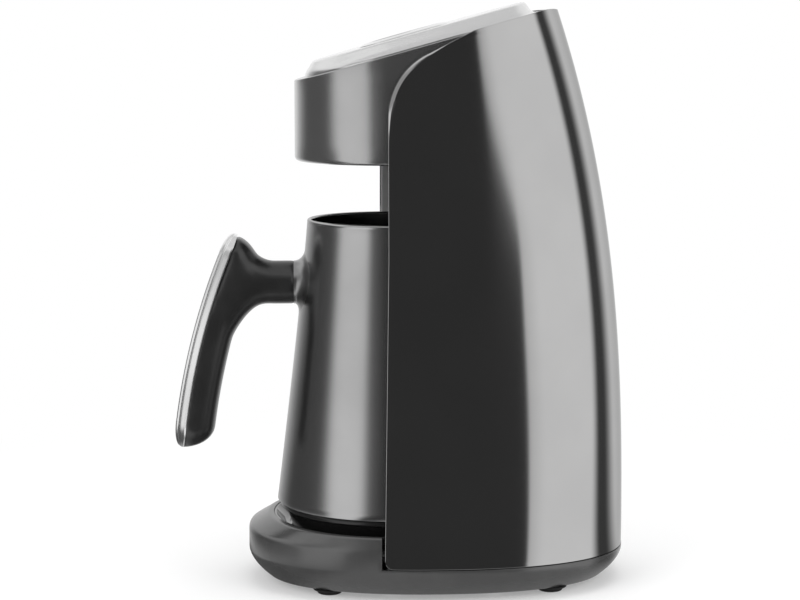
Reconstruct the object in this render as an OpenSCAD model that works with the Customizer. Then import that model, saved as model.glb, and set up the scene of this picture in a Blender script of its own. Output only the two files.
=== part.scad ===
// Electric Turkish coffee maker: a steel-jacketed stand and a lift-off pot.
// +Z is up and the pot's handle points to -Y. The origin lies on the ground,
// midway between the front of the handle and the back of the jacket.
// Inside each module the distances along Y run from the pot's axis.

/* [Pot] */
// Height of the steel vessel
pot_h = 119.6; // [100:0.1:150]
// Outer radius of the vessel at its foot
pot_foot_r = 47.7; // [44:0.1:52]
// Outer radius of the vessel at its rim
pot_rim_r = 34.4; // [31:0.1:37]
// How hollow the vessel's side is, where 1 is a straight cone
pot_curve = 1.12; // [1:0.01:1.3]
// Thickness of the vessel's steel
pot_wall = 1; // [0.8:0.1:1.6]
// Radius of the rolled bead round the rim
rim_bead_r = 0.9; // [0.6:0.1:1.4]
// Height of black skirt that shows below the vessel
skirt_show = 5.6; // [4:0.1:9]

/* [Handle] */
// Distance from the pot's axis to the foremost point of the handle
handle_reach = 91; // [86:0.5:100]
// Distance of the arm's middle below the vessel's rim
arm_drop = 26.8; // [22:0.1:34]
// Height of the arm where it is thinnest
arm_h = 18.2; // [14:0.1:22]
// Width of the arm where it is thinnest
arm_w = 17; // [12:0.5:20]
// Length of the grip, along its curve
grip_len = 93; // [85:0.5:100]
// Radius of the grip's long curve
grip_bend_r = 290; // [220:1:450]
// Width of the grip
grip_w = 21; // [17:0.5:26]
// Depth of the grip behind its trim
grip_d = 12.5; // [11:0.5:15]
// Thickness of the bright trim along the grip
trim_t = 4.2; // [3:0.1:5]
// Width of the steel fillet between the arm's ferrule and the vessel
ferrule_fillet = 4.6; // [3:0.1:6]

/* [Base] */
// Height of the feet below the base
foot_h = 2.6; // [2:0.1:5]
// Height of the base's inward taper, above the feet
taper_h = 10.9; // [8:0.1:14]
// How far the taper draws in at the bottom
taper_in = 8; // [5:0.1:10]
// Height of the upright band
band_h = 9.2; // [7:0.1:12]
// Height of the sloping rim above the band
rim_h = 5.1; // [3:0.1:6]
// Width of the sloping rim at the front
rim_front = 10; // [7:0.1:14]
// Width of the sloping rim at the sides
rim_side = 3; // [2.8:0.1:5]
// Width of the flat land at the rim's inner edge
rim_land = 1.6; // [1:0.1:2.2]
// Wall of the base
base_wall = 2.4; // [1.8:0.1:2.8]
// Radius of a rubber foot
foot_r = 5.1; // [4:0.1:6]
// Distance of the feet from the middle, sideways
foot_x = 31; // [26:0.5:32]
// Distance of the feet from the base's middle, along Y
foot_y = 46; // [38:0.5:48]

/* [Tower] */
// Distance from the pot's axis to the back of the jacket, at the bottom
tower_back = 99.6; // [95:0.1:106]
// How far the back leans in at the top
tower_lean = 30; // [24:0.1:33]
// Thickness of the steel jacket
jacket_t = 1; // [0.8:0.1:1.2]
// Radius of the sweep at the jacket's upper front corner
jacket_sweep_r = 28; // [20:0.5:32]
// Radius of the jacket's lower front corner
jacket_corner_r = 3.4; // [2:0.1:6]
// Gap between the jacket's front edge and the base's rim
jacket_gap = 1.2; // [0.6:0.1:2]
// Gap round the pot's foot, to the base and to the bay
pot_gap = 2.3; // [2.2:0.1:3]
// Wall of the bay behind the pot
bay_wall = 2; // [1.6:0.1:2.6]
// Half the width of the cord outlet's arch
outlet_r = 13; // [10:0.5:15]

/* [Head] */
// Free height between the pot's rim and the head
head_gap = 24.5; // [22:0.5:30]
// How far the head stands out past the pot's rim
head_over = 5.1; // [4:0.1:7]
// Height of the head at its nose
head_h = 33.4; // [29:0.1:38]
// Slope of the head's top, in degrees
deck_slope = 15.6; // [12:0.1:18]
// Wall of the head
head_wall = 2.2; // [1.8:0.1:2.8]
// Radius of the nose's lower edge
head_edge_r = 2; // [1:0.1:3]
// Radius of the sensor's window
sensor_r = 6.5; // [5:0.5:8]
// Radius that eases the head's top down at its back
crown_r = 30; // [24:1:60]

/* [Controls] */
// Height of the top cover
cover_h = 5.6; // [5.2:0.1:8]
// Width of deck that shows round the top cover
cover_margin = 3.2; // [2.4:0.1:5]
// How far the cover's side slopes in
cover_slope_in = 4.6; // [3:0.1:5]
// Outer radius of the control ring
ring_r = 19.5; // [18.5:0.1:22]
// Height of the control ring above the cover
ring_h = 0.9; // [0.6:0.1:1.6]
// Width of the control ring
ring_w = 4; // [3.6:0.1:4.4]
// Radius of a push button
button_r = 5.4; // [4.4:0.1:5.8]
// Travel of a push button
button_travel = 1.5; // [1:0.1:1.8]
// Distance of a push button from the middle
button_x = 7.2; // [6.6:0.1:7.6]
// Radius of an indicator light
light_r = 1; // [0.8:0.1:1.2]

/* [Electrics] */
// Radius of the plug that the pot turns on
plug_r = 15.5; // [13:0.1:17]
// Height of that plug above the dish's floor
plug_h = 7.5; // [6:0.1:8]
// Radius of the plug's middle pin
pin_r = 2; // [1.5:0.1:2.5]
// Radius of the heating element's ring
element_ring_r = 34; // [33:0.5:36]
// Radius of the heating element's tube
element_r = 3; // [2:0.1:3.4]
// Width of the power board
board_w = 52; // [44:1:56]
// Height of the power board
board_h = 78; // [70:1:84]
// Radius of the bore that takes the mains cord
cord_bore_r = 3.4; // [2.8:0.1:3.8]

/* [Hidden] */
$fn = 64;
eps = 0.02;
far = 300;

// Clearances: between fixed faces, round moving parts, and under the seated pot
fit = 0.15;
run = 0.4;
seat = 0.1;

// Heights of the base
pan_z = foot_h;
band_z = pan_z + taper_h;
rim_z0 = band_z + band_h;
rim_z = rim_z0 + rim_h;

// Plan of the base: an oval whose exponent makes its sides fuller than an ellipse
oval_n = 2.3;
recess_r = pot_foot_r + pot_gap;
base_front = recess_r + rim_front;
base_l = (tower_back + base_front) / 2;
base_c = (tower_back - base_front) / 2;
base_a = (recess_r + rim_side) / oval_width(base_c / base_l);
function oval_width(s) = pow(1 - pow(min(1, abs(s)), oval_n), 1 / oval_n);

// Bottom plate, the screws that hold it and the plugs of the feet
pan_t = 2.6;
base_screw_x = 36;
base_screw_y = [-20, 22];
base_screw_l = 8;
boss_r = 3.4;
plug_foot_r = foot_r - 2.8;
foot_shoulder = 1.8;

// Heights and radii of the pot
pot_z = rim_z + skirt_show;
pot_top = pot_z + pot_h;
function pot_r(z) = pot_rim_r + (pot_foot_r - pot_rim_r)
    * pow(max(0, min(1, (pot_top - z) / pot_h)), pot_curve);

// Recess: a glossy dish lies in it, and the pot's skirt stands on the dish's floor
dish_t = 1.5;
dish_z = rim_z0 - 0.3;
tray_floor_z = dish_z - dish_t;
tray_floor_t = 2.2;
inner_top = tray_floor_z - tray_floor_t;
through_floor = tray_floor_t + 8;
lip_w = 0.8;
lip_gap = 0.9;
dish_r = recess_r - lip_w;
dish_slope = 5;
dish_floor_r = dish_r - dish_slope;

// Head and its sloping deck
head_r = pot_rim_r + head_over;
head_z = pot_top + head_gap;
deck_z = head_z + head_h + head_r * tan(deck_slope);
crown_y = 62;
function deck_at(y) = deck_z + y * tan(deck_slope);

// Tower: oval sections that lean in towards the top
jacket_z = band_z + 1.4;
tower_top = deck_at(tower_back - tower_lean);
tower_a_top = head_r + jacket_t + 0.9;
front_stretch = 26;
tower_rings = 12;
ring_pts = 48;
function tower_u(z) = max(0, (z - jacket_z) / (tower_top - jacket_z));
function tower_a(z) = base_a - (base_a - tower_a_top) * (1 - pow(max(0, 1 - tower_u(z)), 1.5));
function tower_b(z) = tower_back - base_c - tower_lean * pow(tower_u(z), 2.6);
function tower_f(z) = base_l + front_stretch * tower_u(z);

// Front edge of the jacket: near upright, then a sweep that runs out on the deck
edge_y0 = -4.1;
edge_y1 = -2.2;
edge_bend_z = pot_top - 13;
sweep_end = 63.4;
sweep_z = deck_at(edge_y1) - 24.3;
jacket_proud = 0.6;
step_y = edge_y0 - jacket_gap;

// Outlet: the arch's straight foot, and the gland in it
outlet_h = 0.5;
insert_l = 12;
gland_z = jacket_z + 6.3;
gland_t = 2;
gland_l = 15;

// Bay: the concave wall behind the pot
liner_z = tray_floor_z + fit;
liner_top = sweep_z + 8;
function bay_r(z) = pot_r(z) + pot_gap;

// Sensor board above the window
sensor_board_w = 24;
sensor_leg = 5;

// Rear of the head's plan, inside the jacket's top edge
head_back = tower_back - tower_lean - jacket_t - 0.5;

// Top cover, laid out in the plane of the deck
cover_r = head_r - cover_margin;
cover_back = head_back / cos(deck_slope) - 6.8;
ring_y = 8;
button_dy = 1.5;
plate_t = 1.6;
plate_z = cover_h - plate_t;
button_top = cover_h + 0.5;
flange_t = 1.3;
flange_r = button_r + 1;
flange_z = plate_z - 0.3 - flange_t;
board_t = 1.6;
switch_s = 6;
switch_h = 3.4;
plunger_r = 1.7;
ctrl_board_z = -6;
ctrl_board_w = 46;
switch_z = ctrl_board_z + board_t;
switch_floor_z = switch_z + 0.7;
plunger_z = switch_floor_z + button_travel + 0.2;
light_dy = -10;
light_gap = 5;

// Wire passage from the base up into the tower
wire_w = 30;
wire_d = 18;
wire_y = 60;

// Power board behind the bay, and the bottom corner and size of what it carries
power_y = 66;
liner_back = power_y + 8;
relay_box = [15, 11, 18];
relay_at = [-15, board_h - 24];
coil_box = [18, 12, 16];
core_box = [12, 3, 22];
coil_at = [2, board_h / 2 - 9];
terminal_box = [28, 9, 10];
terminal_pitch = 9;
capacitor_r = 5;
capacitor_h = 14;
post_r = 3;
post_in = 5;
power_z = 42;

// Plug and socket
plug_z = dish_z + plug_h;
pin_z = plug_z + 3;
pin_in = 8;
socket_r = plug_r + 2.6;

// Pot's underside
plate_h = 2.8;
vessel_floor_z = pot_z + 3.6;
heater_z = vessel_floor_z - plate_h;
socket_top = heater_z - 0.7;
skirt_r = pot_foot_r - 1.3;
skirt_z = dish_z + seat;
skirt_t = 1.6;
skirt_in = 4.6;

// Handle: an arc for the seam between grip and trim, in the plane of symmetry
arm_z = pot_top - arm_drop;
seam_front = handle_reach - trim_t;
grip_low = 5.5;
grip_front = 6.75;
grip_c_drop = 97.34;
grip_c = [grip_bend_r * cos(grip_front) - seam_front, arm_z - grip_c_drop];
grip_sweep = grip_len / grip_bend_r * 180 / PI;
grip_rings = 16;
grip_pts = 16;
end_low = 10;
end_high = 9;
screw_head_r = 3.9;
stud_r = 3.4;
ferrule_r = arm_h / 2;
ferrule_y = -pot_r(arm_z) - 3.4;

// Distance along the grip: s runs from 0 at its lower end to 1 at its upper end
function grip_at(s) = grip_low + s * grip_sweep;
function seam(s) = grip_c + grip_bend_r * [-cos(grip_at(s)), sin(grip_at(s))];
function end_round(s) =
    let (low = s * grip_len, high = (1 - s) * grip_len)
    low < end_low ? sqrt(1 - pow(1 - low / end_low, 2))
    : high < end_high ? sqrt(1 - pow(1 - high / end_high, 2)) : 1;

// The origin lies midway between the trim's foremost point and the jacket's back
handle_front = max([
    for (k = [0 : grip_rings]) let (s = ease(k, grip_rings)) -grip_point(s, 0, -trim_depth(s))[1]
]);
pot_y = (handle_front - tower_back) / 2;

// ---------- shared shapes ----------

module at_pot() translate([0, pot_y, 0]) children();

// A space whose floor is the head's sloping deck, with Y up the slope
module on_deck() at_pot() translate([0, 0, deck_z]) rotate([deck_slope, 0, 0]) children();

// Everything above the deck shifted by h: a plane that eases down behind crown_y
module above_deck(h) {
    translate([0, 0, deck_z]) rotate([deck_slope, 0, 0]) rotate([90, 0, 90])
        linear_extrude(far, center = true) polygon(concat(
            [[-far, h]],
            [for (t = [0 : 4 : 40]) [crown_y + (crown_r + h) * sin(t), (crown_r + h) * cos(t) - crown_r]],
            [[far, -far / 4], [far, far], [-far, far]]
        ));
}

// A closed solid through rings of points, each ring counter-clockwise seen from its end
module loft(rings) {
    n = len(rings[0]);
    m = len(rings);
    polyhedron(
        points = [for (r = rings) each r],
        faces = concat(
            [[for (i = [0 : n - 1]) i]],
            [[for (i = [n - 1 : -1 : 0]) (m - 1) * n + i]],
            [for (k = [0 : m - 2], i = [0 : n - 1]) let (j = (i + 1) % n)
                [k * n + i, (k + 1) * n + i, (k + 1) * n + j]],
            [for (k = [0 : m - 2], i = [0 : n - 1]) let (j = (i + 1) % n)
                [k * n + i, (k + 1) * n + j, k * n + j]]
        )
    );
}

function signed_pow(v, e) = sign(v) * pow(abs(v), e);

// An oval ring at height z with half-width a, reaching f to the front and b to the back of c
function oval(z, a, f, b, c) = [
    for (i = [0 : ring_pts - 1]) let (t = 360 * i / ring_pts, s = sin(t))
        [a * signed_pow(cos(t), 2 / oval_n), c + (s < 0 ? f : b) * signed_pow(s, 2 / oval_n), z]
];

function base_ring(z, in) = oval(z, base_a - in, base_l - in, base_l - in, base_c);

// The base's outer rings: the taper is rounded, and the band is upright
function base_rings(in) = [
    for (t = [0 : 0.2 : 1]) base_ring(pan_z + taper_h * t, in + taper_in * pow(1 - t, 1.7))
];

function tower_ring(z, in) = oval(z, tower_a(z) - in, tower_f(z) - in, tower_b(z) - in, base_c);

module tower(in, z0, z1, steps = tower_rings) loft([
    for (k = [0 : steps]) tower_ring(z0 + (z1 - z0) * k / steps, in)
]);

// Side view of the jacket's outline, drawn in by d, as an extrusion across the tower
module jacket_side(d, z0) {
    cy = edge_y1 + jacket_sweep_r;
    r = jacket_sweep_r - d;
    out = [cy - r * cos(sweep_end), sweep_z + r * sin(sweep_end)];
    run_y = tower_back + 10;
    corner = jacket_corner_r;
    rotate([90, 0, 90]) linear_extrude(far, center = true) polygon(concat(
        [[run_y, z0]],
        [for (t = [0 : 22.5 : 90]) [edge_y0 + d + corner * (1 - sin(t)), z0 + corner * (1 - cos(t))]],
        [[edge_y1 + d, edge_bend_z]],
        [for (t = [0 : sweep_end / 8 : sweep_end + eps]) [cy - r * cos(t), sweep_z + r * sin(t)]],
        [[out[0] + 30, out[1] + 30 * tan(90 - sweep_end)], [run_y, out[1] + 60]]
    ));
}

// The bay's concave volume, grown by d, from z0 up to z1
module bay(d, z0, z1) {
    steps = 8;
    mid = max(z0, pot_z);
    rotate_extrude() polygon(concat(
        [[0, z0], [bay_r(z0) + d, z0]],
        [for (k = [0 : steps]) let (z = mid + (pot_top - mid) * k / steps) [bay_r(z) + d, z]],
        [[bay_r(z1) + d, z1], [0, z1]]
    ));
}

// Plan of the head, drawn in by d: a round nose, straight sides and an oval back
module head_plan(d) {
    r = head_r - d;
    circle(r);
    translate([-r, 0]) square([2 * r, base_c]);
    back = oval(0, r, 1, head_back - base_c - d, base_c);
    polygon([for (p = back) if (p[1] >= base_c - eps) [p[0], p[1]]]);
}

// The arch of the cord outlet, grown by d, from the back of the tower inwards
module outlet_arch(d, depth) {
    translate([0, tower_back + 5, jacket_z + outlet_h]) rotate([90, 0, 0])
        cylinder(r = outlet_r + d, h = depth + 5);
    translate([-outlet_r - d, tower_back - depth, jacket_z - 0.3])
        cube([2 * (outlet_r + d), depth + 5, 0.3 + outlet_h]);
}

module at_feet() for (x = [-foot_x, foot_x], y = [-foot_y, foot_y])
    translate([x, base_c + y, 0]) children();
module at_gland() translate([0, tower_back, gland_z]) rotate([90, 0, 0]) children();
module at_base_screws() for (x = [-base_screw_x, base_screw_x], y = base_screw_y)
    translate([x, base_c + y, 0]) children();
module at_power_posts() for (x = [-1, 1], z = [0, 1])
    translate([x * (board_w / 2 - post_in), power_y, power_z + post_in + z * (board_h - 2 * post_in)])
        rotate([90, 0, 0]) children();
module at_control_screws() for (x = [-1, 1], y = [-1, 1])
    translate([0, ring_y, 0] + (ctrl_board_w / 2 - 3.5) * [x, y, 0]) children();
module at_skirt_screws() for (a = [30, 150, 270]) rotate(a) translate([socket_r + 6, 0, 0]) children();
module at_button(side) translate([side * button_x, ring_y + button_dy, 0]) children();
module at_lights() for (k = [-1 : 1]) translate([k * light_gap, ring_y + light_dy, 0]) children();

// ---------- base ----------

// A round ring at the rim's top, w outside the recess and d below the top
function rim_ring(w, d) = [
    for (p = base_ring(rim_z - d, 0)) let (q = [p[0], p[1]])
        concat(q * (recess_r + w) / norm(q), rim_z - d)
];

// Upper base shell: tapered oval with a sloping rim, lowered behind to carry the jacket
module base_tray() at_pot() color("#55575a") {
    difference() {
        loft(concat(base_rings(0), [base_ring(rim_z0, 0), rim_ring(rim_land, 0.15), rim_ring(0, 0)]));
        loft(concat(
            [base_ring(pan_z - 1, base_wall + taper_in)],
            base_rings(base_wall),
            [base_ring(inner_top, base_wall)]
        ));
        translate([0, 0, tray_floor_z]) cylinder(r = dish_r + fit, h = far);
        // The step behind the rim, with an upright lip inside the jacket
        difference() {
            translate([-far / 2, step_y, band_z + 1]) cube([far, far, far]);
            loft([base_ring(band_z, jacket_t + lip_gap), base_ring(tray_floor_z, jacket_t + lip_gap)]);
        }
        // The wire passage up to the tower, the plug's seat and the cord outlet
        translate([-wire_w / 2, wire_y, inner_top - 1]) cube([wire_w, wire_d, through_floor]);
        translate([0, 0, inner_top - 1]) cylinder(r = plug_r - 2, h = through_floor);
        outlet_arch(fit, insert_l + 6);
    }
    at_base_screws() difference() {
        translate([0, 0, pan_z + pan_t + 0.4])
            cylinder(r = boss_r, h = inner_top - pan_z - pan_t - 0.4 + eps);
        translate([0, 0, pan_z + 2]) cylinder(r = 1.3, h = base_screw_l + 1);
    }
}

// Bottom plate, with the feet's holes, screw seats and cooling slots
module base_pan() at_pot() color("#2b2c2e") difference() {
    loft([
        base_ring(pan_z, taper_in + base_wall + fit),
        base_ring(pan_z + pan_t, taper_in + base_wall + fit - 1.6),
    ]);
    at_feet() translate([0, 0, pan_z - 1]) cylinder(r = plug_foot_r + fit, h = 6);
    at_base_screws() {
        translate([0, 0, pan_z - 1]) cylinder(r = 1.7, h = 6);
        translate([0, 0, pan_z - 1]) cylinder(r = boss_r, h = 2.2);
    }
    for (k = [-3 : 3]) translate([k * 5 - 1, base_c + 30, pan_z - 1]) cube([2, 16, 6]);
}

// Four rubber feet: a disc, a shoulder and a plug through the pan
module rubber_feet() at_pot() color("#1a1a1b") at_feet() {
    cylinder(r = foot_r, h = foot_h * 0.6);
    translate([0, 0, foot_h * 0.6]) cylinder(r = foot_r + foot_shoulder, h = foot_h * 0.4 - 0.05);
    translate([0, 0, foot_h * 0.9]) cylinder(r = plug_foot_r, h = foot_h * 0.1 + pan_t + 1);
}

module base_screws() at_pot() color("#b9bbbd") at_base_screws() {
    difference() {
        translate([0, 0, pan_z]) cylinder(r = 3, h = 1.1);
        for (a = [0, 90]) rotate(a) translate([-2, -0.4, pan_z - 0.1]) cube([4, 0.8, 0.7]);
    }
    translate([0, 0, pan_z + 1]) cylinder(r = 1.25, h = base_screw_l);
}

// Glossy black dish that lines the recess
module recess_dish() at_pot() color("#141414") rotate_extrude() polygon([
    [plug_r + 0.4, dish_z - dish_t + 0.02], [dish_floor_r + 1, dish_z - dish_t + 0.02],
    [dish_r, rim_z - 1.2], [dish_r, rim_z - 0.2], [dish_r - 0.8, rim_z - 0.2],
    [dish_floor_r, dish_z], [plug_r + 0.4, dish_z],
]);

// Round plug that the pot sits on at any angle
module plug_body() at_pot() color("#1c1c1d") difference() {
    union() {
        translate([0, 0, tray_floor_z + 0.02]) cylinder(r = plug_r, h = plug_z - tray_floor_z - 1);
        translate([0, 0, plug_z - 1]) cylinder(r1 = plug_r, r2 = plug_r - 1, h = 1);
        translate([0, 0, tray_floor_z - tray_floor_t - 2]) cylinder(r = plug_r - 2.2, h = tray_floor_t + 3);
    }
    translate([0, 0, plug_z - 5]) difference() {
        cylinder(r = plug_r - 3, h = 6);
        translate([0, 0, -1]) cylinder(r = plug_r - 6.5, h = 8);
    }
    translate([0, 0, plug_z - pin_in]) cylinder(r = pin_r + 0.05, h = pin_in + 1);
}

// Middle pin and outer ring of the plug
module plug_contacts() at_pot() color("#c8a24a") {
    translate([0, 0, plug_z - pin_in]) cylinder(r = pin_r, h = pin_z - 1 - plug_z + pin_in);
    translate([0, 0, pin_z - 1]) cylinder(r1 = pin_r, r2 = pin_r - 1, h = 1);
    translate([0, 0, plug_z - 5]) difference() {
        cylinder(r = plug_r - 3.05, h = 4);
        translate([0, 0, -1]) cylinder(r = plug_r - 3.8, h = 6);
    }
}

// ---------- tower ----------

// One steel sheet wrapped round both sides and the back
module steel_jacket() at_pot() color("#a9abad") difference() {
    intersection() {
        tower(0, jacket_z, tower_top + 12);
        jacket_side(0, jacket_z);
    }
    tower(jacket_t, jacket_z - 1, tower_top + 13);
    above_deck(jacket_proud);
    outlet_arch(0, insert_l + 8);
}

// Inner shell of the tower: the concave bay, its wings with flanges, and the board's posts
module bay_liner() at_pot() color("#606264") {
    out = jacket_t + 0.2;
    difference() {
        intersection() {
            tower(out, liner_z, liner_top);
            jacket_side(0.8, jacket_z);
        }
        bay(0, liner_z - 1, head_z);
        translate([0, 0, head_z - fit]) linear_extrude(far) head_plan(-fit);
        difference() {
            union() {
                intersection() {
                    tower(out + bay_wall, liner_z - 1, liner_top + 1);
                    translate([-far / 2, edge_y1 + bay_wall + 1.6, 0]) cube([far, far, far]);
                }
                translate([-far / 2, liner_back, 0]) cube([far, far, far]);
            }
            bay(bay_wall, liner_z - 2, head_z);
            translate([0, 0, head_z - 3]) linear_extrude(far) head_plan(-fit - bay_wall);
        }
        translate([-far / 2, liner_back, 0]) cube([far, far, far]);
    }
    difference() {
        at_power_posts() cylinder(r = post_r, h = power_y - pot_rim_r / 2);
        bay(0.5, liner_z - 1, head_z);
        at_power_posts() translate([0, 0, -1]) cylinder(r = 1.3, h = 8);
    }
}

// Arched black insert that closes the cord outlet
module outlet_insert() at_pot() color("#18191a") difference() {
    intersection() {
        tower(0.8, jacket_z - 1, jacket_z + outlet_r + 3, 3);
        outlet_arch(-0.1, insert_l);
    }
    at_gland() cylinder(r = cord_bore_r + gland_t + 0.1, h = 40, center = true);
}

// Gland of the mains cord, with the bore that the cord passes through
module cord_gland() at_pot() color("#101011") at_gland() difference() {
    union() {
        translate([0, 0, 0.4]) cylinder(r = cord_bore_r + gland_t, h = gland_l);
        translate([0, 0, gland_l - 2.8]) cylinder(r = cord_bore_r + gland_t + 0.9, h = 2);
    }
    cylinder(r = cord_bore_r, h = 40, center = true);
}

// Power board on its four posts, with the parts that it carries
module power_board() at_pot() color("#2f5d3a") difference() {
    translate([-board_w / 2, power_y + 0.02, power_z]) cube([board_w, board_t, board_h]);
    at_power_posts() cylinder(r = 1.6, h = 20, center = true);
}
module on_power_board(at) translate([at[0], power_y + board_t + 0.04, power_z + at[1]]) children();
module relay() at_pot() color("#2a4a86") on_power_board(relay_at) cube(relay_box);
module transformer() at_pot() color("#8a7a3a") on_power_board(coil_at) {
    cube(coil_box);
    translate([(coil_box[0] - core_box[0]) / 2, coil_box[1] - 1, (coil_box[2] - core_box[2]) / 2])
        cube(core_box);
}
module terminal_block() at_pot() color("#d9d9d2") on_power_board([-terminal_box[0] / 2, 3]) difference() {
    cube(terminal_box);
    for (k = [-1 : 1])
        translate([terminal_box[0] / 2 + k * terminal_pitch, terminal_box[1] / 2, -1]) cylinder(r = 2, h = 7);
}
module capacitor() at_pot() color("#20262e")
    on_power_board([-12, board_h / 2]) rotate([-90, 0, 0]) cylinder(r = capacitor_r, h = capacitor_h);
module board_screws() at_pot() color("#c4c6c8") at_power_posts() {
    translate([0, 0, -board_t - 0.04 - 1.6]) cylinder(r = 2.6, h = 1.6);
    translate([0, 0, -board_t - 0.1]) cylinder(r = 1.25, h = 7);
}

// ---------- head ----------

// Drum-nosed shell with a sloping deck, open below and under the controls
module head_shell() at_pot() color("#77797c") {
    difference() {
        union() {
            translate([0, 0, head_z + head_edge_r]) linear_extrude(far) head_plan(0);
            rotate([0, 0, 180]) rotate_extrude(angle = 180) polygon(concat(
                [[0, head_z], [head_r - head_edge_r, head_z]],
                [for (t = [0 : 15 : 90])
                    [head_r - head_edge_r * (1 - sin(t)), head_z + head_edge_r * (1 - cos(t))]],
                [[0, head_z + head_edge_r]]
            ));
            translate([0, 0, head_z]) linear_extrude(head_edge_r) difference() {
                head_plan(0);
                translate([-far / 2, -far]) square([far, far]);
            }
        }
        above_deck(0);
        difference() {
            translate([0, 0, head_z - 1]) linear_extrude(far) head_plan(head_wall);
            above_deck(-head_wall);
        }
        translate([0, 0, deck_z]) rotate([deck_slope, 0, 0]) translate([0, ring_y, -10])
            cylinder(r = ctrl_board_w / 2 - 1, h = 20);
    }
    // Posts under the deck for the control board
    translate([0, 0, deck_z]) rotate([deck_slope, 0, 0]) difference() {
        at_control_screws() translate([0, 0, switch_z + 0.02])
            cylinder(r = 2.6, h = -head_wall - switch_z + eps);
        at_control_screws() translate([0, 0, switch_z - 1]) cylinder(r = 1, h = 4);
        translate([0, ring_y, -10]) cylinder(r = ctrl_board_w / 2 - 1, h = 20);
    }
}

// Flat underside of the head, above the pot
module head_soffit() at_pot() color("#3a3b3d") difference() {
    translate([0, 0, head_z + 0.4]) linear_extrude(2) head_plan(head_wall + 0.1);
    translate([0, 0, head_z - 1]) cylinder(r = sensor_r + fit, h = 6);
}

// Smoked window of the sensor that watches the coffee rise
module sensor_window() at_pot() color("#2a1416") {
    translate([0, 0, head_z + 0.2]) cylinder(r = sensor_r, h = 2.2);
    translate([0, 0, head_z + 2.42]) cylinder(r = sensor_r + 1.6, h = 1);
}
module sensor_board() at_pot() color("#2f5d3a") {
    z = head_z + 3.44;
    difference() {
        translate([-sensor_board_w / 2, -sensor_board_w / 2, z + sensor_leg])
            cube([sensor_board_w, sensor_board_w, board_t]);
        for (x = [-1, 1], y = [-1, 1])
            translate((sensor_board_w / 2 - 3) * [x, y, 0] + [0, 0, z])
                cylinder(r = 1, h = 2 * sensor_leg + board_t);
    }
    for (x = [-4, 4]) translate([x, 0, z]) cylinder(r = 2.4, h = sensor_leg + eps);
}

// Board with the two key switches and three lamps
module control_board() on_deck() color("#2f5d3a") {
    difference() {
        translate([-ctrl_board_w / 2, ring_y - ctrl_board_w / 2, ctrl_board_z])
            cube([ctrl_board_w, ctrl_board_w, board_t]);
        at_control_screws() translate([0, 0, ctrl_board_z - 1]) cylinder(r = 1.3, h = 5);
    }
    at_lights() translate([0, 0, switch_z - eps]) cylinder(r = light_r, h = 1.5);
}
module switch_bodies() on_deck() color("#202124") for (side = [-1, 1]) at_button(side) difference() {
    translate([-switch_s / 2, -switch_s / 2, switch_z + 0.02]) cube([switch_s, switch_s, switch_h]);
    translate([0, 0, switch_floor_z]) cylinder(r = plunger_r + 0.2, h = 10);
}
module buzzer() on_deck() color("#151515")
    translate([0, ring_y + 14.5, switch_z + 0.02]) cylinder(r = 5, h = 4);
module control_screws() on_deck() color("#c4c6c8") at_control_screws() {
    translate([0, 0, ctrl_board_z - 1.42]) cylinder(r = 1.9, h = 1.4);
    translate([0, 0, ctrl_board_z - 0.1]) cylinder(r = 0.95, h = board_t + 2.2);
}

// ---------- controls on the deck ----------

// A ring of the cover's outline in the deck's plane, drawn in by d, and by back at its rear end
function cover_ring(z, d, back) =
    let (r = cover_r - d, half = ring_pts / 2)
    concat(
        [for (i = [0 : half]) let (t = 180 * i / half, out = pow(sin(t), 2 / oval_n))
            [r * signed_pow(cos(t), 2 / oval_n), base_c + (cover_back - base_c - back) * out, z]],
        [for (i = [0 : half]) let (t = 180 + 180 * i / half) [r * cos(t), r * sin(t), z]]
    );

// Bright bezel on the deck, with sloping sides
module top_cover() on_deck() color("#dcdddf") difference() {
    loft([
        cover_ring(0.02, 0, 0), cover_ring(0.7, 0.15, 1.6), cover_ring(2, 1, 2.7),
        cover_ring(cover_h - 1.6, cover_slope_in - 1.5, 3.3),
        cover_ring(cover_h - 0.5, cover_slope_in - 0.3, 3.9),
        cover_ring(cover_h, cover_slope_in + 0.6, 4.8),
    ]);
    difference() {
        loft([cover_ring(-1, 2, 4), cover_ring(1, 2.6, 5), cover_ring(cover_h - 2, cover_slope_in + 0.8, 6)]);
        translate([0, ring_y, -2]) cylinder(r = ring_r, h = far);
    }
    translate([0, ring_y, -2]) cylinder(r = ring_r - ring_w + 0.6, h = far);
    translate([0, ring_y, cover_h - 0.6]) cylinder(r = ring_r - 1, h = far);
}

// Raised ring round the controls, seated in the cover
module control_ring() on_deck() color("#eceded") translate([0, ring_y, 0]) rotate_extrude() polygon([
    [ring_r - ring_w + 0.5, plate_z - 0.6], [ring_r - ring_w + 0.5, cover_h - 0.58],
    [ring_r - 1.1, cover_h - 0.58], [ring_r - 1.1, cover_h + 0.02],
    [ring_r, cover_h + 0.02], [ring_r - 0.2, cover_h + ring_h * 0.25],
    [ring_r - ring_w * 0.35, cover_h + ring_h * 0.75], [ring_r - ring_w * 0.65, cover_h + ring_h],
    [ring_r - ring_w + 0.5, cover_h + ring_h], [ring_r - ring_w, cover_h + ring_h * 0.5],
    [ring_r - ring_w, plate_z + 0.02],
    [ring_r - ring_w - 1.6, plate_z + 0.02 - 0.6], [ring_r - ring_w - 1.6, plate_z - 1.1],
    [ring_r - ring_w + 0.5, plate_z - 1.1],
]);

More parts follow.
